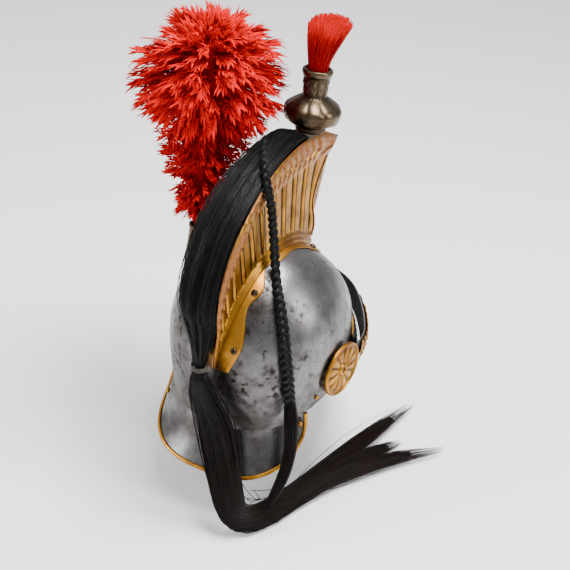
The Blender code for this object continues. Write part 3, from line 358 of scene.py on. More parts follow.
hairs = dict(
    blackHorsehair=dict(slot="black_hair", dark=(0.0008, 0.0008, 0.0008), light=(0.006, 0.0052, 0.0050),
                        tip=(0.03, 0.012, 0.008), tipFrom=0.45, tipMost=0.0, rough=0.40, gloss=0.16),
    brownedHorsehair=dict(slot="black_hair", dark=(0.0008, 0.0006, 0.0005), light=(0.007, 0.0045, 0.0035),
                          tip=(0.016, 0.0055, 0.0035), tipFrom=0.15, tipMost=0.7, rough=0.44, gloss=0.12),
    blackFur=dict(slot="fur", dark=(0.003, 0.003, 0.003), light=(0.020, 0.017, 0.015),
                  tip=(0.020, 0.017, 0.015), tipFrom=0.5, tipMost=0.3, rough=0.6, gloss=0.3),
    redFeather=dict(slot="red_feather", dark=(0.30, 0.0, 0.001), light=(0.86, 0.001, 0.004),
                    tip=(0.92, 0.007, 0.009), tipFrom=0.3, tipMost=0.5, rough=0.8, gloss=0.05),
    redBristle=dict(slot="red_hair", dark=(0.20, 0.0, 0.0), light=(0.42, 0.001, 0.001),
                    tip=(0.44, 0.002, 0.001), tipFrom=0.3, tipMost=0.6, rough=0.6, gloss=0.06),
)
hides = dict(
    dullLeather=dict(slot="leather", dark=(0.018, 0.017, 0.018), light=(0.075, 0.070, 0.070), rough=0.5),
    waxedCord=dict(slot="cord", dark=(0.012, 0.010, 0.008), light=(0.04, 0.03, 0.02), rough=0.6),
)
finishes = {}
for make, kinds in ((metalFinish, metals), (hairFinish, hairs), (hideFinish, hides)):
    finishes.update({name: make(name, look) for name, look in kinds.items()})
print("finishes made:", len(finishes))

# Camera, floor and light; the camera turns and rises about the helmet and aims a little to its side
shot = dict(turn=27.628, rise=36.467, roll=3.906, away=1.5, focal=1372.6, aimRight=28.6, aimUp=93.0,
            frame=570.0)
studio = dict(floor=cadBox[0][2] - 0.0005, half=4.0, pale=(0.96, 0.96, 0.96), sky=(0.88, 0.88, 0.88),
              skyPower=0.85)


def putInScene(name, data, across, back, spot):
    # an object at the spot, its x axis along across, its z axis along back, and y their cross product
    thing = bpy.data.objects.new(name, data)
    bpy.context.scene.collection.objects.link(thing)
    axes = np.eye(4)
    axes[:3] = np.stack([across, np.cross(back, across), back, spot], axis=-1)
    thing.matrix_world = Matrix(axes.tolist())
    return thing


turn, rise, roll = (math.radians(shot[key]) for key in ("turn", "rise", "roll"))
back = np.array([-math.sin(turn) * math.cos(rise), math.cos(turn) * math.cos(rise), math.sin(rise)])
right = np.array([-math.cos(turn), -math.sin(turn), 0.0])
upward = np.cross(back, right)
imageRight = right * math.cos(roll) + upward * math.sin(roll)
imageUp = upward * math.cos(roll) - right * math.sin(roll)
aim = unit(-back + (imageRight * shot["aimRight"] + imageUp * shot["aimUp"]) / shot["focal"])
lens = bpy.data.cameras.new("camera")
lens.sensor_width = 36.0
lens.lens = lens.sensor_width * shot["focal"] / shot["frame"]
lens.clip_start, lens.clip_end = 0.05, 50.0
across = unit(imageRight - aim * (imageRight @ aim))
bpy.context.scene.camera = putInScene("camera", lens, across, -aim, back * shot["away"])

edge, low = studio["half"], studio["floor"]
floorMesh = bpy.data.meshes.new("studioFloor")
floorMesh.from_pydata([(-edge, -edge, low), (edge, -edge, low), (edge, edge, low), (-edge, edge, low)], [],
                      [range(4)])
floorLook, _, floorShader, _ = startMaterial("paleFloor", 0.0, 0.9)
floorShader.inputs["Base Color"].default_value = (*studio["pale"], 1.0)
floorMesh.materials.append(floorLook)
floor = bpy.data.objects.new("studioFloor", floorMesh)
bpy.context.scene.collection.objects.link(floor)
world = bpy.data.worlds.new("studio")
world.use_nodes = True
sky = world.node_tree.nodes["Background"]
sky.inputs["Color"].default_value = (*studio["sky"], 1.0)
sky.inputs["Strength"].default_value = studio["skyPower"]
bpy.context.scene.world = world

# each soft box: how far right, up and towards the camera it hangs, its two sides and its power
for name, offset, size, power in (("topBox", (0.35, 1.15, 0.9), (0.8, 0.6), 50.0),
                                  ("leftBox", (-1.5, 0.5, 0.7), (0.6, 1.2), 20.0),
                                  ("rightBox", (1.4, 0.35, 0.9), (0.4, 1.1), 18.0)):
    lamp = bpy.data.lights.new(name, "AREA")
    lamp.shape, lamp.size, lamp.size_y, lamp.energy = "RECTANGLE", *size, power
    spot = np.array(offset) @ np.stack([imageRight, imageUp, back]) + 0.05 * zUp
    away = unit(spot - 0.08 * zUp)
    putInScene(name, lamp, unit(np.cross(zUp, away)), away, spot)
print("camera, floor and light set")

# The skull: a dome over a wall that draws in to its edge, with shallow dents behind
skull = dict(halfWidth=0.0935, front=0.113, rear=0.101, belly=0.075, dome=0.097, tuck=0.08, pointed=0.40,
             earRise=0.024, steel=0.0015, lap=-0.86, columns=160, dent=0.0007)


def skullEdge(turn):
    # the ear rise times the sixth power of the sine of the turn
    return skull["earRise"] * np.sin(np.radians(turn)) ** 6


def skullPoint(turn, level, lift=0.0):
    # level -1 to 0 climbs the wall and 0 to 1 an oval dome, whose power draws it to a point in front
    edge, belly = skullEdge(turn), skull["belly"]
    angle = np.radians(turn)
    up = np.maximum(level, 0.0) * np.pi / 2
    low = edge + (belly - edge) * (1 + np.minimum(level, 0.0))
    power = 2 - skull["pointed"] * np.maximum(np.cos(angle), 0.0) ** 2
    tuck = 1 - skull["tuck"] * (1 - low / belly) ** 2
    spread = tuck * np.maximum(1 - np.sin(up) ** power, 0.0) ** (1 / power)
    length = np.where(np.cos(angle) > 0, skull["front"], skull["rear"]) + lift
    x = (skull["halfWidth"] + lift) * spread * np.sin(angle)
    z = low + (skull["dome"] + lift) * np.sin(up)
    return np.stack(np.broadcast_arrays(x, -length * spread * np.cos(angle), z), axis=-1)


def skullLevel(height, turn):
    # the level whose point is at a height: the share of the wall, or the arcsine of the share of the dome
    edge, belly = skullEdge(turn), skull["belly"]
    dome = np.arcsin(ramp(height, belly, belly + skull["dome"])) / (np.pi / 2)
    return np.where(height < belly, (height - edge) / (belly - edge) - 1, dome)


def skullOut(turn, level):
    # the step round the skull crossed with the step up it
    around = skullPoint(turn + 0.5, level) - skullPoint(turn - 0.5, level)
    return unit(np.cross(around, skullPoint(turn, level + 0.01) - skullPoint(turn, level - 0.01)))


levels = np.append(np.linspace(-1, 0, 26)[:-1], 0.985 * np.sin(np.linspace(0, np.pi / 2, 42)))
turns, levels = np.meshgrid(np.degrees(circle(skull["columns"])), levels)
wave = (np.sin(0.21 * turns + 7.0 * levels) * np.sin(0.13 * turns - 11.0 * levels + 1.0)
        + 0.6 * np.sin(0.47 * turns + 23.0 * levels))
dents = skull["dent"] * np.maximum(wave, 0) * ramp(levels, 0.35, -0.45) * ramp(levels, -1.0, -0.9)
dents *= ramp(turns, 100.0, 140.0) * ramp(turns, 300.0, 260.0)
shell = sheet(skullPoint(turns, levels, -dents), skullPoint(turns, levels, -dents - skull["steel"]),
              closed=True)
makePiece("skullShell", shell, "wornSteel", ["skull"], crease=50)

# Neck guard and peak, with their rolled brass edges
guard = dict(halfWidth=0.0835, end=0.038, back=0.111, drop=0.049, lap=0.25, turns=63.0, columns=120, rows=40)
peak = dict(halfWidth=0.069, end=0.066, front=0.160, drop=0.010, thick=0.002, lap=0.3, turns=45.0, columns=90,
            rows=24)
wire = dict(radius=0.0026, sides=12, mouth=math.radians(40))


def guardRim(share):
    # x follows a power of the sine, y the cosine, and z falls with a low power of the cosine
    angle = np.asarray(share) * np.pi / 2
    behind = np.maximum(np.cos(angle), 0.0)
    drop = behind**0.36
    x = guard["halfWidth"] * np.sign(angle) * np.abs(np.sin(angle)) ** 0.72 * (1 - 0.04 * (1 - drop) ** 2)
    top = skullEdge(180.0 - guard["turns"])
    return np.stack([x, guard["end"] + (guard["back"] - guard["end"]) * behind,
                     top - (guard["drop"] + top) * drop], axis=-1)


def guardGrid(shares, depths):
    # from a lap inside the skull down to the rim, flaring with the square of the depth in the middle
    shares, depths = np.meshgrid(shares, depths)
    lap = ramp(depths, guard["lap"], 0) * (1 + skull["lap"])
    upper = skullPoint(180.0 - shares * guard["turns"], lap - 1, -(1.5 * skull["steel"] + seat))
    down = ramp(depths, guard["lap"], 1)
    straight = 0.35 + 0.65 * np.abs(shares) ** 3
    flare = straight * down + (1 - straight) * down**2
    return upper + (guardRim(shares) - upper) * np.stack([flare, flare, down], axis=-1)


def peakGrid(shares, depths):
    # from a lap inside the skull, straight out to an oval edge
    shares, depths = np.meshgrid(shares, depths)
    lap = ramp(depths, peak["lap"], 0) * (1 + skull["lap"])
    upper = skullPoint(shares * peak["turns"], lap - 1, -(skull["steel"] + 1.7 * seat + 0.5 * peak["thick"]))
    upper[..., 2] -= peak["thick"] * np.clip(depths / peak["lap"], 0, 1)
    angle = shares * np.pi / 2
    edge = np.stack([peak["halfWidth"] * np.sin(angle),
                     -(peak["end"] + (peak["front"] - peak["end"]) * np.cos(angle)),
                     -peak["drop"] * np.cos(angle) - peak["thick"]], axis=-1)
    return upper + scaled(edge - upper, ramp(depths, peak["lap"], 1))


def plate(middle, thick, lean):
    # the middle surface moved half the thickness each way along its normal, which leans the given way
    out = unit(np.cross(np.gradient(middle, axis=1), np.gradient(middle, axis=0)))
    out = np.where(np.sum(out * lean, axis=-1, keepdims=True) > 0, out, -out)
    return sheet(middle + 0.5 * thick * out, middle - 0.5 * thick * out)


def rolledEdge(low, bite):
    # a ring of the wire's radius about the edge, left open for a slot that the sheet stands in
    inward = unit(low[0] - low[1])
    path = low[1] + inward * (0.25 * wire["radius"] - gap)
    side, over = framesAlong(path, inward)
    angle = np.linspace(wire["mouth"], 2 * np.pi - wire["mouth"], wire["sides"])
    outer = wire["radius"] * (scaled(over[:, None], np.cos(angle)) + scaled(side[:, None], np.sin(angle)))
    mouth, deep = over * wire["radius"] * math.cos(wire["mouth"]), -over * 0.25 * wire["radius"]
    slot = (mouth - side * bite, deep - side * bite, deep + side * bite, mouth + side * bite)
    return loft(path[:, None] + np.concatenate([outer, np.stack(slot, axis=1)], axis=1))


even = np.linspace(-1, 1, guard["columns"])
shares = even * (1 + 0.35 * (1 - even**2))
middle = guardGrid(shares, np.linspace(0, 1, guard["rows"]))
makePiece("neckGuardPlate", plate(middle, skull["steel"], middle), "wornSteel", ["neck_guard"], crease=50)
makePiece("neckGuardEdge", rolledEdge(guardGrid(shares, np.array([0.9, 1.0])), 0.5 * skull["steel"] + gap),
          "agedBrass", ["neck_guard_binding"], crease=60)
shares = np.linspace(-1, 1, peak["columns"])
middle = peakGrid(shares, np.linspace(0, 1, peak["rows"]))
makePiece("peakPlate", plate(middle, peak["thick"], np.array([0.0, -0.8, 1.0])), "dullLeather", ["peak"],
          crease=50)
makePiece("peakEdge", rolledEdge(peakGrid(shares, np.array([0.9, 1.0])), 0.5 * peak["thick"] + 2 * gap),
          "agedBrass", ["peak_binding"], crease=60)

# The crest: a fluted body on a moulding and a scalloped flange, with a leafy band and a gutter on top
crest = dict(height=0.100, halfWidth=0.017, flange=0.035, flutes=11, fluteDepth=0.0016, gutter=0.005,
             perFlute=20, leafPitch=0.0095, leafDepth=0.0018)
# from the front: turns and lifts of the moulding, waist, band and rim, then half widths of flange, body, rim
crestRows = (
    (48, 0.16, 60, 0.46, 59, 0.95, 56, 1.19, 1.00, 0.94, 0.80),
    (54, 0.11, 63, 0.48, 66, 0.88, 65, 1.15, 0.97, 1.00, 0.78),
    (69, 0.11, 73, 0.46, 75, 0.79, 76, 1.08, 0.86, 1.00, 0.74),
    (84, 0.10, 85, 0.41, 86, 0.71, 86, 0.985, 0.77, 0.97, 0.71),
    (98, 0.09, 97, 0.39, 96, 0.68, 97, 0.89, 0.77, 0.94, 0.71),
    (110, 0.09, 108, 0.37, 107, 0.64, 109, 0.79, 0.56, 0.88, 0.71),
    (124, 0.08, 120, 0.30, 118, 0.53, 121, 0.68, 0.83, 0.80, 0.68),
    (138, 0.07, 133, 0.23, 129, 0.40, 133, 0.52, 0.66, 0.71, 0.64),
    (152, 0.04, 148, 0.13, 144, 0.23, 146, 0.33, 0.80, 0.62, 0.58),
    (163, 0.025, 161, 0.06, 159, 0.09, 158, 0.13, 0.84, 0.50, 0.46),
    (179, 0.015, 178, 0.025, 178, 0.035, 177, 0.045, 0.58, 0.36, 0.30),
)


def crestUp(turn):
    # straight out of the skull in its middle plane
    angle = np.radians(turn)
    return np.stack([np.zeros_like(angle), -np.cos(angle), np.sin(angle)], axis=-1)


def crestSpot(turn, lift):
    # out from the belly's middle by the lift and the dome's radius, which its half axes and power give
    angle = np.radians(turn)
    length = np.where(np.cos(angle) > 0, skull["front"], skull["rear"])
    power = 2 - skull["pointed"] * (np.cos(angle) > 0)
    radius = (np.abs(np.cos(angle) / length) ** power
              + np.abs(np.sin(angle) / skull["dome"]) ** power) ** (-1 / power)
    return scaled(crestUp(turn), radius + lift) + skull["belly"] * zUp


def skullSink(turn, x):
    # how far the skull falls away from its middle line, x to the side, found by halving the distance
    start = crestSpot(turn, np.zeros_like(turn, float)) + scaled(xAxis, x)
    near, far = np.zeros_like(x), np.full_like(x, skull["dome"])
    for _ in range(24):
        half = 0.5 * (near + far)
        px, py, z = np.moveaxis(start - scaled(crestUp(turn), half), -1, 0)
        ahead = py < 0
        py = np.where(ahead, -py / skull["front"], py / skull["rear"])
        reach = np.hypot(px / skull["halfWidth"], py)
        power = 2 - skull["pointed"] * np.where(ahead, py / np.maximum(reach, 1e-9), 0.0) ** 2
        tuck = 1 - skull["tuck"] * (1 - np.minimum(z, skull["belly"]) / skull["belly"]) ** 2
        inside = (reach / tuck) ** power + (np.maximum(z - skull["belly"], 0.0) / skull["dome"]) ** power < 1
        near, far = np.where(inside, near, half), np.where(inside, half, far)
    return near


def crestLine(stations):
    # the rising line at each station: its knots, the length up to each, and the half widths there
    rows = smooth(crestRows, stations)
    lifts = [(rows[:, 0], np.full(len(rows), seat))]
    lifts += [(rows[:, k], rows[:, k + 1] * crest["height"]) for k in (0, 2, 4, 6)]
    knots = np.stack([crestSpot(turn, lift) for turn, lift in lifts], axis=1)
    steps = np.cumsum(np.linalg.norm(np.diff(knots, axis=1), axis=-1), axis=1)
    return dict(knots=knots, steps=np.insert(steps, 0, 0.0, axis=1), turn=rows[:, 0],
                flange=rows[:, 8] * crest["flange"], body=rows[:, 9] * crest["halfWidth"],
                rim=rows[:, 10] * crest["halfWidth"])


def crestPoint(line, lengths, x):
    # a cubic through the knots read by length, straight on past its ends, bent down over the skull below
    knots, steps = line["knots"], line["steps"]
    gaps = np.diff(steps, axis=1)
    chords = np.diff(knots, axis=1) / gaps[..., None]
    inner = scaled(chords[:, :-1], gaps[:, 1:]) + scaled(chords[:, 1:], gaps[:, :-1])
    inner = inner / (gaps[:, 1:] + gaps[:, :-1])[..., None]
    slopes = np.concatenate([chords[:, :1], inner, chords[:, -1:]], axis=1)
    place = ramp(lengths[..., None], steps[:, None, :-1], steps[:, None, 1:]).sum(axis=-1)
    first = np.minimum(place.astype(int), 3)
    row = np.arange(len(knots))[:, None]
    stretch = gaps[row, first][..., None]
    spot = eased(knots[row, first], knots[row, first + 1], slopes[row, first] * stretch,
                 slopes[row, first + 1] * stretch, (place - first)[..., None])
    spot = spot + scaled(unit(chords[:, -1:]), np.maximum(lengths - steps[:, -1:], 0))
    spot = spot + scaled(unit(chords[:, :1]), np.minimum(lengths, 0)) + scaled(xAxis, x)
    turn = np.broadcast_to(line["turn"][:, None], x.shape)
    fade = ramp(lengths, 2 * steps[:, 1:2] + brass, 0)
    return spot - scaled(crestUp(turn), skullSink(turn, np.abs(x)) * fade)


def bodyWidth(lengths):
    # straight from the body's half width at the moulding to the rim's at the top
    return body + (rim - body) * ramp(lengths, moulding, top)


fine = np.linspace(0, len(crestRows) - 1, 400)
waist = crestLine(fine)["knots"][:, 2]
waistLength = np.insert(np.cumsum(np.linalg.norm(np.diff(waist, axis=0), axis=1)), 0, 0.0)
firstFlute, lastFlute = np.interp([0.45, 9.0], fine, waistLength)
fluteSteps = crest["flutes"] * crest["perFlute"] + 1
placesAlong = np.unique(np.concatenate([
    np.linspace(0, firstFlute, 12), np.linspace(firstFlute, lastFlute, fluteSteps),
    np.linspace(lastFlute, waistLength[-1], 16)]))
line = crestLine(np.interp(placesAlong, waistLength, fine))
phase = np.mod((placesAlong - firstFlute) * crest["flutes"] / (lastFlute - firstFlute), 1.0)
toRidge = np.minimum(phase, 1 - phase)
inFlutes = ((placesAlong > firstFlute) & (placesAlong < lastFlute - 1e-6))[:, None]
hollow = ramp(toRidge, 0, 0.16)
hollow = (hollow**2 * (3 - 2 * hollow))[:, None] * inFlutes         # 0 on a ridge, 1 in the hollow
groove = np.exp(-((toRidge - 0.19) / 0.060) ** 2)[:, None] * inFlutes
depth = hollow * 0.85 + groove * 0.45
moulding, waistAt, bandAt, top = (line["steps"][:, k:k + 1] for k in (1, 2, 3, 4))
body, rim, flange = (line[key][:, None] for key in ("body", "rim", "flange"))

s = np.linspace(0, 1, 10)[None]                                     # the flange
bead = brass * np.minimum(1.0, moulding / (6 * brass))
flangeX = flange + (body + 3.8 * bead - flange) * s
flangeL = brass * (1.0 + 0.15 * s) - 0.5 * brass * (s == 0)
# painted shade, with dirt, where the flange runs into the moulding
flangeGrimeAndShade = 0.25 * (s > 0.8)
s = np.linspace(0.04, 1, 18)[None]                                  # the moulding
mouldingL = 1.15 * brass + np.maximum(moulding - 1.15 * brass, 0.3 * brass) * s
mouldingX = body + bead * smooth([[3.8], [3.4], [1.1], [2.1], [0.0]], s[0] * 4)[:, 0][None]
s = np.linspace(0.02, 0.99, 26)[None]                               # the flutes
fluteL = moulding + 0.3 * brass + (bandAt - moulding - 0.3 * brass) * s
arch = np.clip(np.minimum(s / 0.10, (1 - s) / 0.07), 0, 1) ** 0.5
room = np.minimum(1.0, (bandAt - moulding) / (10 * brass))
fluteX = bodyWidth(fluteL) - depth * arch * crest["fluteDepth"] * room
s = np.linspace(0, 1, 20)[None]                                     # the band: leaves that point forward
v = 2 * s - 1
bandL = bandAt + (top - bandAt) * s
leaf = np.mod(placesAlong[:, None] / crest["leafPitch"] - 0.75 * np.abs(v), 1.0)
leaf = leaf * (1 - np.abs(v) ** 4) * (1 - 0.5 * np.exp(-(v / 0.13) ** 2))
room = np.clip((top - bandAt) / (9 * brass), 0, 1)
bandX = bodyWidth(bandL) + brass * (0.7 + 0.4 * np.sin(np.pi * s)) + crest["leafDepth"] * leaf * room
bandX[:, -1:] = rim
gutterAt = top - np.minimum(crest["gutter"], 0.3 * top)
webAt = gutterAt - np.minimum(1.3 * brass, 0.3 * top)
wall, least = 2.1 * brass, 0.4 * rim
# lengths up the crest, half widths, grime with painted shade (in the flutes' grooves, between the leaves,
# where the flange meets the moulding and in the gutter under the mane) and copper of each stretch of the
# outside
outside = ((flangeL, flangeX, flangeGrimeAndShade, 0.0), (mouldingL, mouldingX, 0.3, 0.0),
           (fluteL, fluteX, (1.3 * groove + 0.12 * depth) * arch, 0.0),
           (bandL, bandX, 0.75 * (1 - leaf) ** 3 * (np.abs(v) < 0.97), 0.9),
           (gutterAt, rim - 1.6 * brass, 0.8, 0.0))
outerL, outerX, grimeAndShade, copper = (
    np.concatenate([np.broadcast_to(stretch[k], stretch[1].shape) for stretch in outside], axis=1)
                                 for k in range(4))
innerL = np.concatenate([webAt, bandAt, waistAt, np.minimum(moulding, 0.5 * waistAt), 0 * top, 0 * top],
                        axis=1)
innerX = [np.maximum(width - wall, least) for width in (rim, bodyWidth(bandAt), bodyWidth(waistAt), body)]
innerX = np.concatenate(innerX + [np.maximum(body - 0.4 * wall, 0.6 * body), flange], axis=1)
lengths = np.concatenate([outerL, outerL[:, ::-1], innerL[:, ::-1], innerL], axis=1)
widths = np.concatenate([outerX, -outerX[:, ::-1], -innerX[:, ::-1], innerX], axis=1)
values = {key: np.concatenate([value, value[:, ::-1], 0 * innerL, 0 * innerL], axis=1).reshape(-1)
          for key, value in (("grimeAndShade", grimeAndShade), ("band", copper))}
makePiece("crestBody", loft(crestPoint(line, lengths, widths)), "crestBrass", ["crest"], values, crease=42)

# The plate that closes the crest's front, with a palm of lobes on it
front = dict(rows=70, columns=41, lobes=4, depth=0.0016)
noseLine = crestLine([0.0])
steps = noseLine["steps"][0]
rises = np.interp(np.linspace(0.3, 4.0, front["rows"]), np.arange(5), steps)
spine = crestPoint(noseLine, rises[None], 0 * rises[None])[0]
along = unit(np.gradient(spine, axis=0))
ahead = np.stack([np.zeros(front["rows"]), -along[:, 2], along[:, 1]], axis=-1)
half = np.interp(rises, steps[[1, -1]], [noseLine["body"][0], noseLine["rim"][0]]) + 0.8 * brass
v = np.linspace(-1, 1, front["columns"])[None]
t = np.linspace(0, 1, front["rows"])[:, None]
backGrid = spine[:, None] + scaled(xAxis, half[:, None] * v) + ahead[:, None] * seat
palm = (0.5 + 0.5 * np.cos(2 * np.pi * (front["lobes"] * np.arctan2(v, 0.25 + t) / 1.3)))
palm = palm * np.sin(np.pi * np.clip(t * 1.04, 0, 1)) ** 0.6
swell = brass * (1 + 0.8 * (1 - v**2)) + front["depth"] * palm * (1 - v**2)
# painted shade, with dirt, in the hollows between the palm's lobes
values = {"grimeAndShade": np.append(0.7 * (1 - palm) ** 2, np.zeros(palm.size)), "band": 0.2}
makePiece("crestFront", sheet(backGrid + scaled(ahead[:, None], swell), backGrid), "crestBrass",
          ["crest_front_plate"], values, crease=45)

# The tulip: a turned bulb and socket, leaves in relief on both
tulip = dict(radius=0.030, height=0.066, at=1.2, tilt=6.0, sides=120, rows=110, relief=0.0015)
# shares of radius and height, up the outside and down the bore
tulipRows = ((0.50, 0.00), (0.54, 0.03), (0.50, 0.07), (0.62, 0.11), (0.90, 0.18), (1.00, 0.29), (0.94, 0.39),
             (0.70, 0.49), (0.47, 0.56), (0.43, 0.60), (0.45, 0.82), (0.52, 0.93), (0.53, 0.97), (0.49, 1.00),
             (0.42, 1.00), (0.38, 0.62))
rims = crestLine([tulip["at"] - 0.3, tulip["at"], tulip["at"] + 0.3])
rimSpots = rims["knots"][:, 4]
footRadius = tulipRows[0][0] * tulip["radius"]
touching = math.sqrt(footRadius**2 - min(rims["rim"][1], footRadius) ** 2)
lean = math.radians(tulip["tilt"])
tulipAxis = np.array([0.0, -math.sin(lean), math.cos(lean)])
tulipFoot = rimSpots[1] + tulipAxis * (2 * gap + touching * abs(unit(rimSpots[2] - rimSpots[0]) @ tulipAxis))
profile = evenRows(tulipRows, tulip["rows"])
profile[:, 1] = np.minimum(profile[:, 1], 1.0)
rings = turnedShape(profile * [tulip["radius"], tulip["height"]], tulipFoot, tulipAxis, tulip["sides"])
angle, height = circle(tulip["sides"])[None], profile[:, 1:]
bulbLeaf = np.abs(np.sin(5 * angle + 3.0 * (height - 0.3))) ** 0.7 * np.exp(-((height - 0.42) / 0.10) ** 2)
petal = np.abs(np.cos(5 * angle))
collarLeaf = petal * np.clip(np.sin(np.pi * (height - 0.60) / 0.30), 0, 1)
collarLeaf = collarLeaf * (0.6 + 0.4 * np.cos(40 * height + 6 * petal))
relief = (bulbLeaf + 1.1 * collarLeaf) * (np.arange(tulip["rows"]) < 0.86 * tulip["rows"])[:, None]
spokes = unit(rings - rings.mean(axis=1, keepdims=True))
rings = rings + scaled(spokes, tulip["relief"] * (relief - 0.4 * (relief > 0.02)))
# dirt and painted shade in the hollows between the leaves on bulb and collar
grimeAndShade = np.clip(0.75 - 1.2 * relief, 0, 1) * (np.abs(height - 0.62) < 0.3) * (height > 0.34)
makePiece("tulipSocket", loft(rings), "darkBronze", ["tulip"], {"grimeAndShade": grimeAndShade.reshape(-1)}, crease=60)

# The brush: bristles that stand in the tulip and spread and bend forward with their height
brush = dict(length=0.049, radius=0.0225, bend=0.022, count=1700, steps=6, plug=0.020, bore=0.36,
             half=0.00038)
brushRows = ((-0.30, 0.42), (0.00, 0.44), (0.25, 0.55), (0.55, 0.78), (0.85, 1.00), (1.00, 0.98))
lip = tulipFoot + tulipAxis * tulip["height"]
angle = dice.uniform(0, 2 * np.pi, brush["count"])
place = np.sqrt(dice.uniform(0, 1, brush["count"]))
ends = dice.uniform(0.80, 1.0, brush["count"]) * (1 - 0.10 * place**3)
t = np.linspace(-0.3, 1, brush["steps"])[None] * ends[:, None]
wide = np.interp(t, *np.array(brushRows).T) * brush["radius"] * place[:, None]
plumb = unit(np.cross(tulipAxis, (0.0, 1.0, 0.0)))
paths = (lip + scaled(tulipAxis, t * brush["length"])
         + scaled(np.array([0.0, -brush["bend"], 0.0]), np.maximum(t, 0) ** 2)
         + scaled(plumb, wide * np.cos(angle)[:, None])
         + scaled(np.cross(tulipAxis, plumb), wide * np.sin(angle)[:, None]))
paths += dice.normal(0, 0.00035, paths.shape) * np.linspace(0, 1, brush["steps"])[None, :, None]
bore = brush["bore"] * tulip["radius"]
plug = loft(turnedShape([(bore, -brush["plug"]), (bore, -0.001)], lip, tulipAxis, 24))
hair = strands(paths, np.array([0.3, 1.0, 0.1]), brush["half"], brush["half"])
makePiece("brushBristles", together([plug, hair]), "redBristle", ["brush"],
          hairValues(len(plug[0]), paths, np.clip(t, 0, 1)))

# The mane: hair from the crest's gutter that falls to the left and gathers at the tie
mane = dict(rise=0.030, reach=0.034, count=2000, steps=11, half=0.00042, rows=120)
# station, then shares of rise, reach and drop
maneRows = ((1.75, 0.10, 0.55, 0.20), (2.30, 0.36, 0.66, 0.40), (3.20, 0.42, 0.82, 0.60),
            (4.20, 0.44, 0.95, 0.75), (5.20, 0.52, 1.00, 0.85), (6.20, 0.64, 1.00, 0.80),
            (7.00, 0.78, 0.95, 0.65), (7.80, 0.84, 0.84, 0.50), (8.50, 0.72, 0.66, 0.36))
tie = dict(out=0.0215, rise=0.0175, radius=0.0088, width=0.006, turns=5, steps=240, half=0.0007)
tieSpot = np.array([0.0, skull["rear"] + tie["out"], skull["belly"] + tie["rise"]])


def maneSections(places):
    # rings on the crest: up from the gutter as shares of rise, out as shares of reach, down as shares of drop
    rows = smooth(maneRows, places)
    line = crestLine(rows[:, 0])
    rise, reach, drop = rows[:, 1] * mane["rise"], rows[:, 2] * mane["reach"], rows[:, 3] * mane["reach"]
    top = line["steps"][:, -1]
    root = line["rim"] - 1.6 * brass - seat
    floor = -np.minimum(crest["gutter"], 0.3 * top) + 2 * seat
    wall = line["rim"] + 2.4 * brass
    step = 2 * seat + 0.1 * rise
    outline = (
        (floor, -root), (seat + 0 * top, -root), (0.45 * rise, -0.95 * root), (0.60 * rise, -0.65 * root),
        (0.98 * rise, -0.30 * root), (0.84 * rise, 0.15 * root), (1.05 * rise, 0.2 * reach),
        (0.80 * rise, 0.45 * reach), (0.86 * rise, 0.66 * reach), (0.45 * rise - 0.2 * drop, 0.86 * reach),
        (0.20 * rise - 0.4 * drop, 1.04 * reach), (-0.60 * drop, 0.93 * reach), (-0.85 * drop, 0.95 * reach),
        (-drop, 0.78 * reach), (-0.80 * drop, wall + 0.22 * (reach - wall)), (-0.30 * drop, wall),
        (step, wall), (step, root), (floor, root))
    lengths, widths = (np.stack([spot[k] for spot in outline], axis=1) for k in (0, 1))
    return crestPoint(line, lengths + top[:, None], widths)


def readGrid(grid, rows, columns):
    # the grid read between its points: each neighbour times its share of the square
    rows, columns = np.clip(rows, 0, grid.shape[0] - 1.001), np.clip(columns, 0, grid.shape[1] - 1.001)
    r, c = rows.astype(int), columns.astype(int)
    down, over = (rows - r)[..., None], (columns - c)[..., None]
    return ((grid[r, c] * (1 - over) + grid[r, c + 1] * over) * (1 - down)
            + (grid[r + 1, c] * (1 - over) + grid[r + 1, c + 1] * over) * down)


sections = maneSections(np.linspace(0, len(maneRows) - 1, 25))
middle = sections[-1].mean(axis=0)
offsets = sections[-1] - middle
first = math.atan2(offsets[0] @ np.array([0.0, 0.7, 0.7]), offsets[0][0])
angle = first - circle(len(offsets))
neck = tieSpot + 0.78 * tie["radius"] * np.stack([np.cos(angle), np.sin(angle), 0 * angle], axis=-1)
gathered = [middle + (tieSpot - middle) * share + offsets * size
            for share, size in ((0.33, 0.80), (0.66, 0.58), (0.88, 0.42))]
sections = np.concatenate([sections, gathered, [neck]])
sections = evenRows(sections.reshape(len(sections), -1), mane["rows"]).reshape(mane["rows"], -1, 3)
centres = sections.mean(axis=1, keepdims=True)
core = loft(centres + (sections - centres) * 0.94)

count, along = mane["count"], np.linspace(0, 1, mane["steps"])[None]
start = dice.uniform(0, 1, count) ** 1.3 * 0.80
end = np.clip(start + dice.uniform(0.35, 1.0, count), 0, 1.0)
end = np.where(end > 0.85, 1.0, end)
rowPlace = (start[:, None] + (end - start)[:, None] * along) * (mane["rows"] - 1)
column = dice.uniform(1.2, 15.5, count)
lock = np.round(column * 2.2) / 2.2                                 # hair draws together in locks
drift = column[:, None] + (lock - column)[:, None] * 0.8 * along
drift = drift + dice.normal(0, 0.35, count)[:, None] * np.sin(np.pi * along)
paths = readGrid(np.concatenate([sections, sections[:, :1]], axis=1), rowPlace, np.clip(drift, 0.6, 16.4))
outward = unit(paths - readGrid(np.repeat(centres, 2, axis=1), rowPlace, 0 * rowPlace))
lift = dice.uniform(-0.0012, 0.0009, count)[:, None] * np.sin(0.25 + 2.85 * along) ** 0.5
stray = np.where(dice.uniform(0, 1, count) < 0.05, dice.uniform(0.001, 0.006, count), 0.0)
paths = paths + scaled(outward, lift + stray[:, None] * np.sin(np.pi * along))
width = taper(mane["half"], [0, 0.1, 0.9, 1], [0.3, 1, 1, 0.25], mane["steps"])
makePiece("maneHair", together([core, strands(paths, outward, width, width)]), "blackHorsehair", ["mane"],
          hairValues(len(core[0]), paths, 0.0))

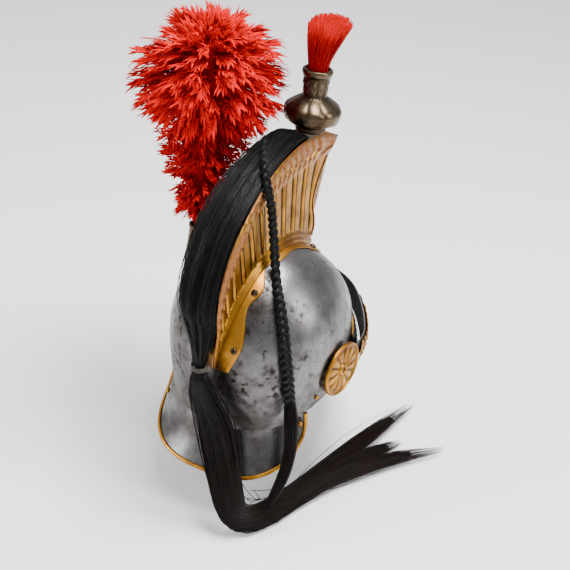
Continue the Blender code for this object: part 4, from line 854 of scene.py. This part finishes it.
w = np.linspace(0, 1, tie["steps"])                                 # the tie: a cord wound round the mane
angle = 2 * np.pi * tie["turns"] * w
path = tieSpot + (tie["radius"] - tie["half"]) * np.stack([np.cos(angle), np.sin(angle), 0 * w], axis=-1)
path = path - scaled(zUp, tie["half"] + w * (tie["width"] - 2 * tie["half"]))
makePiece("tieCord", strands(path[None], path - tieSpot, tie["half"], tie["half"], 8), "waxedCord",
          ["mane_tie"])

# The tail: from the tie down the back, then forward over the floor in three locks
tail = dict(width=0.0235, drop=0.087, count=1100, steps=19, half=0.00052, core=0.70,
            floor=cadBox[0][2] + 0.0004)
# shares of the hang to the right, behind and up, then half width and thickness
tailRows = ((0.04, 1.09, 0.71, 0.65, 0.38), (0.19, 1.06, 0.29, 0.88, 0.37), (0.38, 1.12, -0.17, 0.98, 0.35),
            (0.54, 1.20, -0.53, 0.92, 0.35), (0.66, 1.20, -0.79, 0.78, 0.37), (0.80, 1.03, -0.96, 0.68, 0.38),
            (0.96, 0.67, -1.00, 0.70, 0.38))
tipRows = (((1.05, 0.18, -1.00), (1.20, -0.45, -1.00), (1.34, -0.99, -1.01), (1.47, -1.51, -1.03)),
           ((1.15, 0.18, -1.00), (1.34, -0.27, -1.00), (1.54, -0.61, -1.01), (1.72, -0.86, -1.03)),
           ((1.17, 0.22, -1.00), (1.46, -0.20, -1.00), (1.82, -0.61, -1.01), (2.27, -1.01, -1.03)))
tipSizes = ((0.0125, 0.0078), (0.0115, 0.0072), (0.0085, 0.0055), (0.0035, 0.0022))
hangs = np.array([-guard["halfWidth"], guard["back"], tail["drop"]])


def tailPath(number, places):
    # the tail's own rows, then one lock's rows, on one smooth line: place, half width and half thickness
    rows = np.array(tailRows) * [*hangs, tail["width"], tail["width"]]
    top = [*(tieSpot - zUp * (tie["width"] + 2 * seat)), tie["radius"], 0.9 * tie["radius"]]
    rows = np.concatenate([[top], rows,
                           np.concatenate([np.array(tipRows[number]) * hangs, tipSizes], axis=1)])
    return smooth(rows, places * (len(rows) - 1))


def tailFacing(rows, t):
    # out from the helmet's middle at the top of the tail, turning to straight up at its tip
    return scaled(rows[..., :3] * flatOnly, 1 - t) + scaled(tail["drop"] * zUp, t)


count = tail["count"]
which = dice.integers(0, 3, count)
ends = dice.uniform(0.80, 1.0, count) ** 0.7
ends = np.where(dice.uniform(0, 1, count) < 0.25, dice.uniform(0.55, 0.9, count), ends)
t = np.linspace(0, 1, tail["steps"])[None] * ends[:, None]
rows = np.stack([tailPath(number, t) for number in range(3)])[which, np.arange(count)]
side, over = framesAlong(rows[..., :3], tailFacing(rows, t))
angle, place = dice.uniform(0, 2 * np.pi, count), dice.uniform(0.35, 1.0, count) ** 0.5
spread = 0.80 + 0.30 * np.clip(t - 0.8, 0, 1) / 0.2 * dice.uniform(-0.5, 1.6, count)[:, None]
stray = np.where(dice.uniform(0, 1, count) < 0.06, dice.normal(0, 1.5, count), 0.0)   # hairs that stand away
sway = 0.004 * (dice.normal(0, 0.10, count) + stray)[:, None] * np.sin(3 * np.pi * t)
paths = (rows[..., :3] + scaled(side, rows[..., 3] * (np.cos(angle) * place)[:, None] * spread + sway)
         + scaled(over, rows[..., 4] * (np.sin(angle) * place)[:, None] * spread))
paths[..., 2] = np.maximum(paths[..., 2], tail["floor"] + 0.0004)
width = taper(tail["half"], [0, 0.05, 0.8, 1], [0.5, 1, 0.85, 0.15], tail["steps"])
along = np.linspace(0, 0.93, 60)
cores = []
for number in range(3):
    rows = tailPath(number, along)
    cores.append(strands(rows[None, :, :3], tailFacing(rows, along), *(tail["core"] * rows.T[3:, None]), 14))
before = sum(len(core[0]) for core in cores)
makePiece("tailHair", together(cores + [strands(paths, over, width, width)]), "brownedHorsehair",
          ["mane_tail"], hairValues(before, paths, t, coreShare=0.2))

# The braid: three plaited tubes with hairs laid round them, over the crest and down the skull
braid = dict(radius=0.0075, turnsPer=0.0125, steps=420, hairs=12, half=0.00042)
# on the crest: station, shares of its height and half width; on the skull: turn, level, share of the radius
braidOnCrest = np.array(((3.42, 1.213, -0.35), (3.82, 1.203, 0.15), (4.10, 1.121, 0.59), (4.35, 0.975, 1.03),
                         (4.49, 0.747, 1.20), (4.43, 0.469, 1.28), (4.52, 0.287, 1.44)))
braidOnSkull = np.array(((135.5, 0.700, 0.85), (136.2, 0.511, 0.85), (135.6, 0.380, 0.85),
                         (134.9, 0.263, 0.85), (134.0, 0.140, 0.85), (132.9, 0.025, 0.85),
                         (131.5, -0.200, 0.90), (130.3, -0.420, 0.95)))
line = crestLine(braidOnCrest[:, 0])
knots = np.concatenate([
    crestPoint(line, braidOnCrest[:, 1:2] * line["steps"][:, 4:5],
               -braidOnCrest[:, 2:] * crest["halfWidth"])[:, 0],
    skullPoint(-braidOnSkull[:, 0], braidOnSkull[:, 1], braidOnSkull[:, 2] * braid["radius"])])
path = evenRows(knots, braid["steps"])
walked = np.insert(np.cumsum(np.linalg.norm(np.diff(path, axis=0), axis=1)), 0, 0.0)
evenly = np.linspace(0, walked[-1], braid["steps"])
path = np.stack([np.interp(evenly, walked, path[:, k]) for k in range(3)], axis=-1)
side, over = framesAlong(path, path * [1.0, 0.6, 0.0] - 0.4 * skull["halfWidth"] * xAxis)
size = braid["radius"] * np.linspace(0.62, 1.0, braid["steps"])
phase = np.pi * evenly / braid["turnsPer"] + circle(3)[:, None]
plait = path + scaled(side, 0.52 * size * np.sin(phase)) + scaled(over, 0.24 * size * np.sin(2 * phase))
fat = np.broadcast_to(0.46 * size, phase.shape)
tubes = strands(plait, over, 0.88 * fat, 0.72 * fat, 12)
tubeSide, tubeOver = framesAlong(plait, over)
lay = circle(braid["hairs"])[:, None, None] + dice.uniform(0, 0.3, (braid["hairs"], 3, 1))
lay = lay + 1.2 * np.sin(phase)
paths = plait + scaled(tubeSide, 0.92 * fat * np.cos(lay)) + scaled(tubeOver, 0.76 * fat * np.sin(lay))
paths = paths.reshape(-1, braid["steps"], 3)[:, ::3]
hair = strands(paths, over[::3], braid["half"], braid["half"])
makePiece("braidPlait", together([tubes, hair]), "blackHorsehair", ["braid"],
          hairValues(len(tubes[0]), paths, 0.0, coreTint=0.1))

loose = dict(count=320, steps=14, half=0.00040)                     # the braid's loose end
braidEndRows = ((0.99, 0.68, 0.28, 1.00), (1.03, 0.71, 0.00, 0.95), (1.05, 0.80, -0.28, 0.90),
                (1.01, 0.88, -0.53, 0.80), (0.95, 0.93, -0.73, 0.60), (0.90, 0.97, -0.84, 0.27))
down = unit(knots[-1] - knots[-2])
rows = np.concatenate([[[*(knots[-1] - down * 0.004), 0.6 * braid["radius"]],
                        [*(knots[-1] + down * braid["radius"]), 0.85 * braid["radius"]]],
                       np.array(braidEndRows) * [*hangs, braid["radius"]]])
ends = dice.uniform(0.65, 1.0, loose["count"])
t = np.linspace(0, 1, loose["steps"])[None] * ends[:, None]
read = smooth(rows, t * (len(rows) - 1))
spots, size = read[..., :3], read[..., 3]
side, over = framesAlong(spots, spots * flatOnly)
angle, place = dice.uniform(0, 2 * np.pi, loose["count"]), np.sqrt(dice.uniform(0, 1, loose["count"]))
paths = (spots + scaled(side, size * (np.cos(angle) * place)[:, None])
         + scaled(over, 0.55 * size * (np.sin(angle) * place)[:, None]))
width = taper(loose["half"], [0, 0.7, 1], [1, 1, 0.2], loose["steps"])
makePiece("braidLoose", strands(paths, over, width, width), "brownedHorsehair", ["braid_end"],
          hairValues(0, paths, 0.5 * t))

# The plume's holder: a turned tube on the skull's left side
holder = dict(radius=0.0065, turn=92.0, level=0.30, length=0.048, lean=6.0)
# shares of radius and length, up the outside; the bore is a sheet's thickness smaller
holderRows = ((0.75, 0), (0.9, 0.02), (1, 0.06), (1, 0.40), (1.06, 0.42), (1, 0.44), (1, 0.93),
              (1.15, 0.95), (1.15, 1))
foot = skullPoint(holder["turn"], holder["level"], 0.5 * holder["radius"] + seat)
lean, bore = math.radians(holder["lean"]), holder["radius"] - brass
holderAxis = np.array([-math.sin(lean), 0.0, math.cos(lean)])
holderTop = foot + holder["length"] * holderAxis
profile = [(radius * holder["radius"], height * holder["length"]) for radius, height in holderRows]
profile += [(bore, holder["length"]), (bore, 0.2 * holder["length"])]
makePiece("plumeTube", loft(turnedShape(profile, foot, holderAxis, 48)), "darkBronze", ["plume_holder"],
          {"grimeAndShade": 0.2}, crease=40)

# The plume: a ball of feathers on a stem of small tufts, each round a ragged red core
plume = dict(radius=0.075, height=0.238, lean=0.036, out=0.012, stem=0.018, feathers=335, barbs=12,
             barbSteps=4, barb=0.021, half=0.0017, tufts=220, tuftBarbs=8, ballMiddle=0.68, ballHalf=0.30)
# share of the height, share of the radius, share of the lean
plumeRows = ((0.000, 0.045, 0.00), (0.075, 0.050, 0.00), (0.120, 0.210, 0.02), (0.200, 0.380, 0.15),
             (0.300, 0.560, 0.40), (0.380, 0.640, 0.62), (0.430, 0.800, 0.76), (0.520, 0.980, 0.90),
             (0.640, 1.060, 1.00), (0.770, 1.030, 1.00), (0.880, 0.820, 1.00), (0.960, 0.500, 1.00),
             (1.000, 0.180, 1.00))
plumeShares, plumeSizes, _ = np.array(plumeRows).T


def plumeAxis(share):
    # the plume's middle at a share of its height: up from the holder, leaning forward and out
    lean = smooth(plumeRows, np.interp(share, plumeShares, np.arange(len(plumeRows))))[:, 2]
    rise = share * plume["height"] - plume["stem"]
    return holderTop + np.stack([plume["out"] * lean, -plume["lean"] * lean, rise], axis=-1)


def plumeRadius(share):
    # the radius times the rows' sizes, read in straight lines between them
    return plume["radius"] * np.interp(share, plumeShares, plumeSizes)


def featherPiece(name, replaced, roots, bends, tips, flat, barbs, scale, low, high):
    # each spine runs from root to tip, pulled towards its bend; barbs leave it to both sides and curve
    # forward, and the core is rings of the plume's radius with waves round them
    count, steps = len(roots), plume["barbSteps"]
    v = np.clip(np.linspace(0.24, 1.0, barbs)[None] + dice.uniform(-0.03, 0.03, (count, barbs)), 0, 1)
    v = np.repeat(v[:, None], 2, axis=1)[..., None]
    root, bend, tip = (part[:, None, None] for part in (roots, bends, tips))
    spine = root * (1 - v) ** 2 + 2 * bend * v * (1 - v) + tip * v**2
    along = unit(2 * (bend - root) * (1 - v) + 2 * (tip - bend) * v)[:, :, :, None]
    side = unit(np.cross(along, flat[:, None, None, None]))
    over = np.cross(side, along)
    hand = np.array([-1.0, 1.0])[None, :, None, None, None]
    s = np.linspace(0, 1, steps)[:, None]
    length = np.sin(np.pi * np.clip(0.12 + 0.70 * v, 0, 1)) ** 0.7 * dice.uniform(0.7, 1.15, v.shape)
    length = scale * plume["barb"] * length[..., None]
    wide = 0.40 + 0.10 * dice.normal(0, 1, v.shape)[..., None]
    curl = dice.normal(0, 0.10, v.shape)[..., None] - 0.12
    paths = (spine[:, :, :, None] + length * (along * s * 0.9 + hand * side * wide * s * (1.15 - 0.45 * s)
                                              + over * curl * s**2)).reshape(-1, steps, 3)
    facing = np.broadcast_to(over, (count, 2, barbs, steps, 3)).reshape(paths.shape)
    width = (0.7 if scale < 1 else 1.0) * plume["half"] * np.array([0.8, 1.0, 0.75, 0.10])[None]
    tint = np.clip(np.repeat(dice.uniform(0.15, 0.85, count), 2 * barbs)
                   + dice.normal(0, 0.12, len(paths)), 0, 1)
    share = np.clip(v.reshape(-1, 1) * 0.7 + 0.3 * np.linspace(0, 1, steps), 0, 1)

    rise, angle = np.linspace(low, high, 26), circle(40)
    ragged = 1 + 0.12 * np.sin(5 * angle + 30 * rise[:, None]) * np.sin(9 * angle - 17 * rise[:, None])
    radius = plumeRadius(rise)[:, None] * 0.42 * ragged
    ring = np.stack([np.cos(angle) * radius, np.sin(angle) * radius, 0 * radius], axis=-1)
    # the core takes the finish's darkest red: painted shade deep in the plume, which also fills the gaps
    # between feathers
    core = loft(plumeAxis(rise)[:, None] + ring)
    makePiece(name, together([core, strands(paths, facing, width, 0.10 * width)]), "redFeather", replaced,
              hairValues(len(core[0]), paths, share, tint))


count = plume["feathers"]
number = np.arange(count) + 0.5
upDown = 1 - 1.80 * number / count
azimuth = number * np.pi * (3 - math.sqrt(5)) + dice.normal(0, 0.25, count)
out = np.stack([np.cos(azimuth), np.sin(azimuth), 0 * azimuth], axis=-1)
halfTall = plume["ballHalf"] * plume["height"] * upDown
reach = dice.uniform(0.80, 0.98, count)
ball = plumeAxis(np.array([plume["ballMiddle"]]))[0] + 0.004 * zUp
tips = (ball + scaled(out, 1.06 * plume["radius"] * np.sqrt(1 - upDown**2) * reach)
        + scaled(zUp, halfTall * reach))
roots = ball + scaled(zUp, 0.35 * halfTall - 0.004) + out * 0.004
bends = 0.5 * (roots + tips) + scaled(zUp, 0.010 + 0.008 * dice.uniform(0, 1, count))
bends = bends + dice.normal(0, 0.004, tips.shape)
flat = unit(zUp + 0.55 * out * np.sign(upDown)[:, None] + dice.normal(0, 0.45, tips.shape))
featherPiece("plumeHead", ["plume"], roots, bends, tips, flat, plume["barbs"], 1.0, 0.36, 0.90)

count = plume["tufts"]
high = dice.uniform(0.12, 0.46, count)
azimuth = dice.uniform(0, 2 * np.pi, count)
out = np.stack([np.cos(azimuth), np.sin(azimuth), 0 * azimuth], axis=-1)
roots = plumeAxis(high) + out * 0.003
tips = roots + scaled(out, plumeRadius(high) * dice.uniform(0.6, 0.85, count))
tips = tips + scaled(zUp, dice.uniform(-0.006, 0.016, count))
flat = unit(zUp + dice.normal(0, 0.6, tips.shape))
bends = 0.5 * (roots + tips) + 0.006 * zUp
featherPiece("plumeTufts", (), roots, bends, tips, flat, plume["tuftBarbs"], 0.6, 0.0, 0.46)

# The turban: short fur over a padded band round the front half of the skull, and a brass bead on its top
turban = dict(pile=0.0095, top=0.083, end=0.062, turns=65.0, piping=0.0011, count=3700, steps=4, fur=0.0055,
              half=0.00026, beads=480)


def turbanTop(share):
    # from the end's height to the top's by a power of the cosine
    return turban["end"] + (turban["top"] - turban["end"]) * np.maximum(np.cos(share * np.pi / 2), 0) ** 1.3


def turbanPoint(shares, rises, cover):
    # over the skull from its lower edge to the turban's top, as thick as a power of the sine of the rise
    turns = shares * turban["turns"]
    foot = skullEdge(turns) + seat
    heights = foot + (turbanTop(shares) - foot) * rises
    pile = turban["pile"] * (0.35 + 0.65 * np.sin(rises * np.pi) ** 0.6)
    pile = pile * (0.62 + 0.38 * np.abs(shares) ** 0.7)
    return skullPoint(turns, skullLevel(heights, turns), 2 * seat + pile * cover)


shares, rises = np.meshgrid(np.linspace(-1, 1, 70), np.linspace(0, 1, 16))
base = sheet(turbanPoint(shares, rises, 0.80), turbanPoint(shares, rises, 0.0))
shares, rises = dice.uniform(-0.99, 0.99, turban["count"]), dice.uniform(0.04, 0.97, turban["count"])
root, tip = turbanPoint(shares, rises, 0.72), turbanPoint(shares, np.clip(rises - 0.05, 0, 1), 1.05)
swirl = dice.normal(0, 0.0011, root.shape)[:, None]
s = np.linspace(0, 1, turban["steps"])[None, :, None]
paths = root[:, None] + (tip - root)[:, None] * s + (2 * swirl - 0.6 * turban["fur"] * zUp) * s**2
width = turban["half"] * np.array([1.0, 0.9, 0.6, 0.15])[None]
makePiece("turbanFur", together([base, strands(paths, unit(root)[:, None], 1.6 * width, width)]), "blackFur",
          ["turban"], hairValues(len(base[0]), paths, s[..., 0]))
shares = np.linspace(-1, 1, turban["beads"])
turns = shares * turban["turns"]
levels = skullLevel(turbanTop(shares) + turban["piping"] + 2 * gap, turns)
path = skullPoint(turns, levels, seat + turban["piping"])
thick = turban["piping"] * (0.72 + 0.28 * np.abs(np.sin(np.arange(turban["beads"]) * np.pi / 4)))[None]
makePiece("turbanBead", strands(path[None], skullOut(turns, levels), thick, thick, 8), "agedBrass",
          ["turban_piping"])

# The chin strap, its brass scales and the ring behind each row of them
strap = dict(width=0.027, thick=0.002, scales=8, plate=0.0007, ring=0.0075, ringSteps=48, wireSides=12,
             across=17, along=12, firstScale=0.355, scaleStep=0.0475)
# turn, height and distance off the skull, from an ear to the front
strapRows = ((90.0, 0.050, 0.0008), (80.0, 0.049, 0.0012), (69.0, 0.049, 0.0090), (60.0, 0.051, 0.0132),
             (51.0, 0.056, 0.0138), (42.0, 0.064, 0.0130), (33.0, 0.072, 0.0120), (18.0, 0.077, 0.0108),
             (0.0, 0.079, 0.0100))


def strapTrack(places):
    # the strap's middle line and the direction off the skull, from the right at -1 to the left at 1
    rows = smooth(strapRows, (1 - np.abs(places)) * (len(strapRows) - 1))
    turns = rows[..., 0] * np.sign(places)
    levels = skullLevel(rows[..., 1], turns)
    return skullPoint(turns, levels, rows[..., 2]), skullOut(turns, levels)


path, out = strapTrack(np.linspace(-1, 1, 140))
side, over = framesAlong(path, out)
corner = np.array([(1, 0), (1, 0.6), (0.92, 0.9), (0.45, 1), (0, 1), (-0.45, 1), (-0.92, 0.9), (-1, 0.6),
                   (-1, 0)])
ribbon = (path[:, None] + scaled(side[:, None], corner[:, 0] * 0.5 * strap["width"])
          + scaled(over[:, None], corner[:, 1] * strap["thick"]))
makePiece("strapLeather", loft(ribbon), "dullLeather", ["chin_strap"], crease=50)


def scaleRow(hand):
    # each scale: a domed leaf u across and v along, rounded at its free end and lifted over the next one
    u, v = np.linspace(-1, 1, strap["across"])[None], np.linspace(0, 1, strap["along"])[:, None]
    outline = np.sqrt(1 - ramp(v, 0.55, 1) ** 2.2) * (0.86 + 0.14 * ramp(v, 0, 0.4))
    outline = 0.5 * strap["width"] * np.maximum(outline, 0.03)
    lift = (strap["thick"] + gap + 0.0002 + 0.0026 * v + 0.0012 * (1 - u**2) * (1 - 0.4 * v)
            + 0.0005 * np.exp(-(u / 0.16) ** 2))
    shells = []
    for number in range(strap["scales"]):
        start = strap["firstScale"] + strap["scaleStep"] * number
        path, out = strapTrack(hand * (start + 1.42 * strap["scaleStep"] * v[:, 0]))
        side, over = (part[:, None] for part in framesAlong(path, out))
        face = path[:, None] + scaled(side, u * outline) + scaled(over, lift + strap["plate"])
        shells.append(sheet(face, face - over * strap["plate"]))
    return together(shells)


for label, hand in (("Right", -1), ("Left", 1)):
    makePiece("scales" + label, scaleRow(hand), "agedBrass", ["chin_scales_" + label.lower()], crease=50)
    path, out = strapTrack(hand * np.linspace(0.35, 0.25, 9))
    centre = path[4] + out[4] * (strap["thick"] + 2 * brass + gap)
    along = unit(path[8] - path[0])
    angle, wireAngle = circle(strap["ringSteps"]), circle(strap["wireSides"])
    spoke = scaled(along, np.cos(angle)) + scaled(np.cross(along, out[4]), np.sin(angle))
    tube = ((centre + strap["ring"] * spoke)[:, None]
            + brass * (scaled(unit(spoke)[:, None], np.cos(wireAngle)) + scaled(out[4], np.sin(wireAngle))))
    index = np.arange(tube.shape[0] * tube.shape[1]).reshape(tube.shape[:2])
    makePiece("ring" + label, (tube.reshape(-1, 3), [gridFaces(np.concatenate([index, index[:1]]), True)]),
              "wornSteel", ["strap_ring_" + label.lower()], crease=180)

# The rosettes: turned discs with petals raised on them
rosette = dict(radius=0.0305, height=0.050, ahead=0.004, turn=6.5, thick=0.0022, petals=12, columns=180,
               rows=50)
# shares of radius and thickness, and how much the petals stand out there
rosetteRows = ((1.00, 0.0, 0.0), (1.00, 0.7, 0.0), (0.975, 1.25, 0.0), (0.94, 1.35, 0.0), (0.90, 0.75, 0.0),
               (0.86, 0.62, 0.2), (0.78, 0.85, 0.9), (0.62, 1.05, 1.0), (0.45, 1.05, 1.0), (0.32, 0.9, 0.7),
               (0.25, 0.60, 0.0), (0.22, 1.4, 0.0), (0.17, 1.9, 0.0), (0.10, 1.7, 0.0), (0.07, 0.9, 0.0))
rows = evenRows(rosetteRows, rosette["rows"])
radius, petalShare = rows[:, :1], np.clip(rows[:, 2:], 0, 1)
petal = np.abs(np.sin(0.5 * rosette["petals"] * circle(rosette["columns"])[None])) ** 0.6
petalHigh = petal * np.clip((0.90 - radius) / 0.14 - 0.9 * (1 - petal), 0, 1)
# dirt and painted shade between the petals, in the groove near the rim and round the middle
dirtAndShade = (petalShare * (1 - petalHigh) ** 1.2 + 0.6 * np.exp(-((radius - 0.89) / 0.02) ** 2)
        + 0.6 * (radius < 0.12))
for label, hand in (("Right", -1), ("Left", 1)):
    foot = np.array([hand * (skull["halfWidth"] + strap["thick"] + 4 * gap), -rosette["ahead"],
                     rosette["height"]])
    axis = unit(np.array([float(hand), math.tan(math.radians(rosette["turn"])), 0.0]))
    rings = turnedShape(rows[:, :2] * [rosette["radius"], rosette["thick"]], foot, axis, rosette["columns"])
    rings = rings + scaled(axis, petalShare * (petalHigh - 0.55) * 0.75 * rosette["thick"])
    makePiece("rosette" + label, loft(rings), "crestBrass", ["rosette_" + label.lower()],
              {"grimeAndShade": np.clip(dirtAndShade, 0, 1).reshape(-1), "band": 0.0}, crease=60)

# Rivets and screws, each on the place of its solid
heads = dict(sides=28, rows=10, slotHalf=0.0007, slotDeep=0.75)


def headShell(node, slot):
    # a low dome about the solid's thinnest axis, by cosine of the radius and sine of the height; a screw's
    # has a slot across it
    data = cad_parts[node].data
    points = np.zeros(len(data.vertices) * 3)
    data.vertices.foreach_get("co", points)
    points = points.reshape(-1, 3)
    middle = points.mean(axis=0)
    axis = np.linalg.svd(points - middle, full_matrices=False)[2][2]
    axis = axis if axis @ (middle - skull["belly"] * zUp) > 0 else -axis
    along = (points - middle) @ axis
    radius = np.linalg.norm(points - middle - along[:, None] * axis, axis=1).max()
    foot, tall = middle + axis * along.min(), along.max() - along.min()
    t = np.linspace(0, np.pi / 2, heads["rows"])[:-1]
    profile = np.append(np.stack([radius * np.cos(t), tall * np.sin(t)], axis=-1), [[0.06 * radius, tall]],
                        axis=0)
    rings = turnedShape(profile, foot, axis, heads["sides"])
    if slot:
        off = (rings - foot) @ unit(np.cross(axis, [0.3, 0.2, 1.0]))
        cut = np.exp(-(off / heads["slotHalf"]) ** 4) * heads["slotDeep"] * tall
        rings = rings - scaled(axis, cut * np.clip(((rings - foot) @ axis) / tall, 0, 1))
    return loft(rings)


rivets, screws = (sorted(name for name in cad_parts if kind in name) for kind in ("rivet", "screw"))
makePiece("rivetHeads", together([headShell(name, False) for name in rivets]), "agedBrass", rivets,
          crease=180)
makePiece("screwHeads", together([headShell(name, True) for name in screws]), "darkBronze", screws,
          {"grimeAndShade": 0.3}, crease=50)

print("all pieces made")
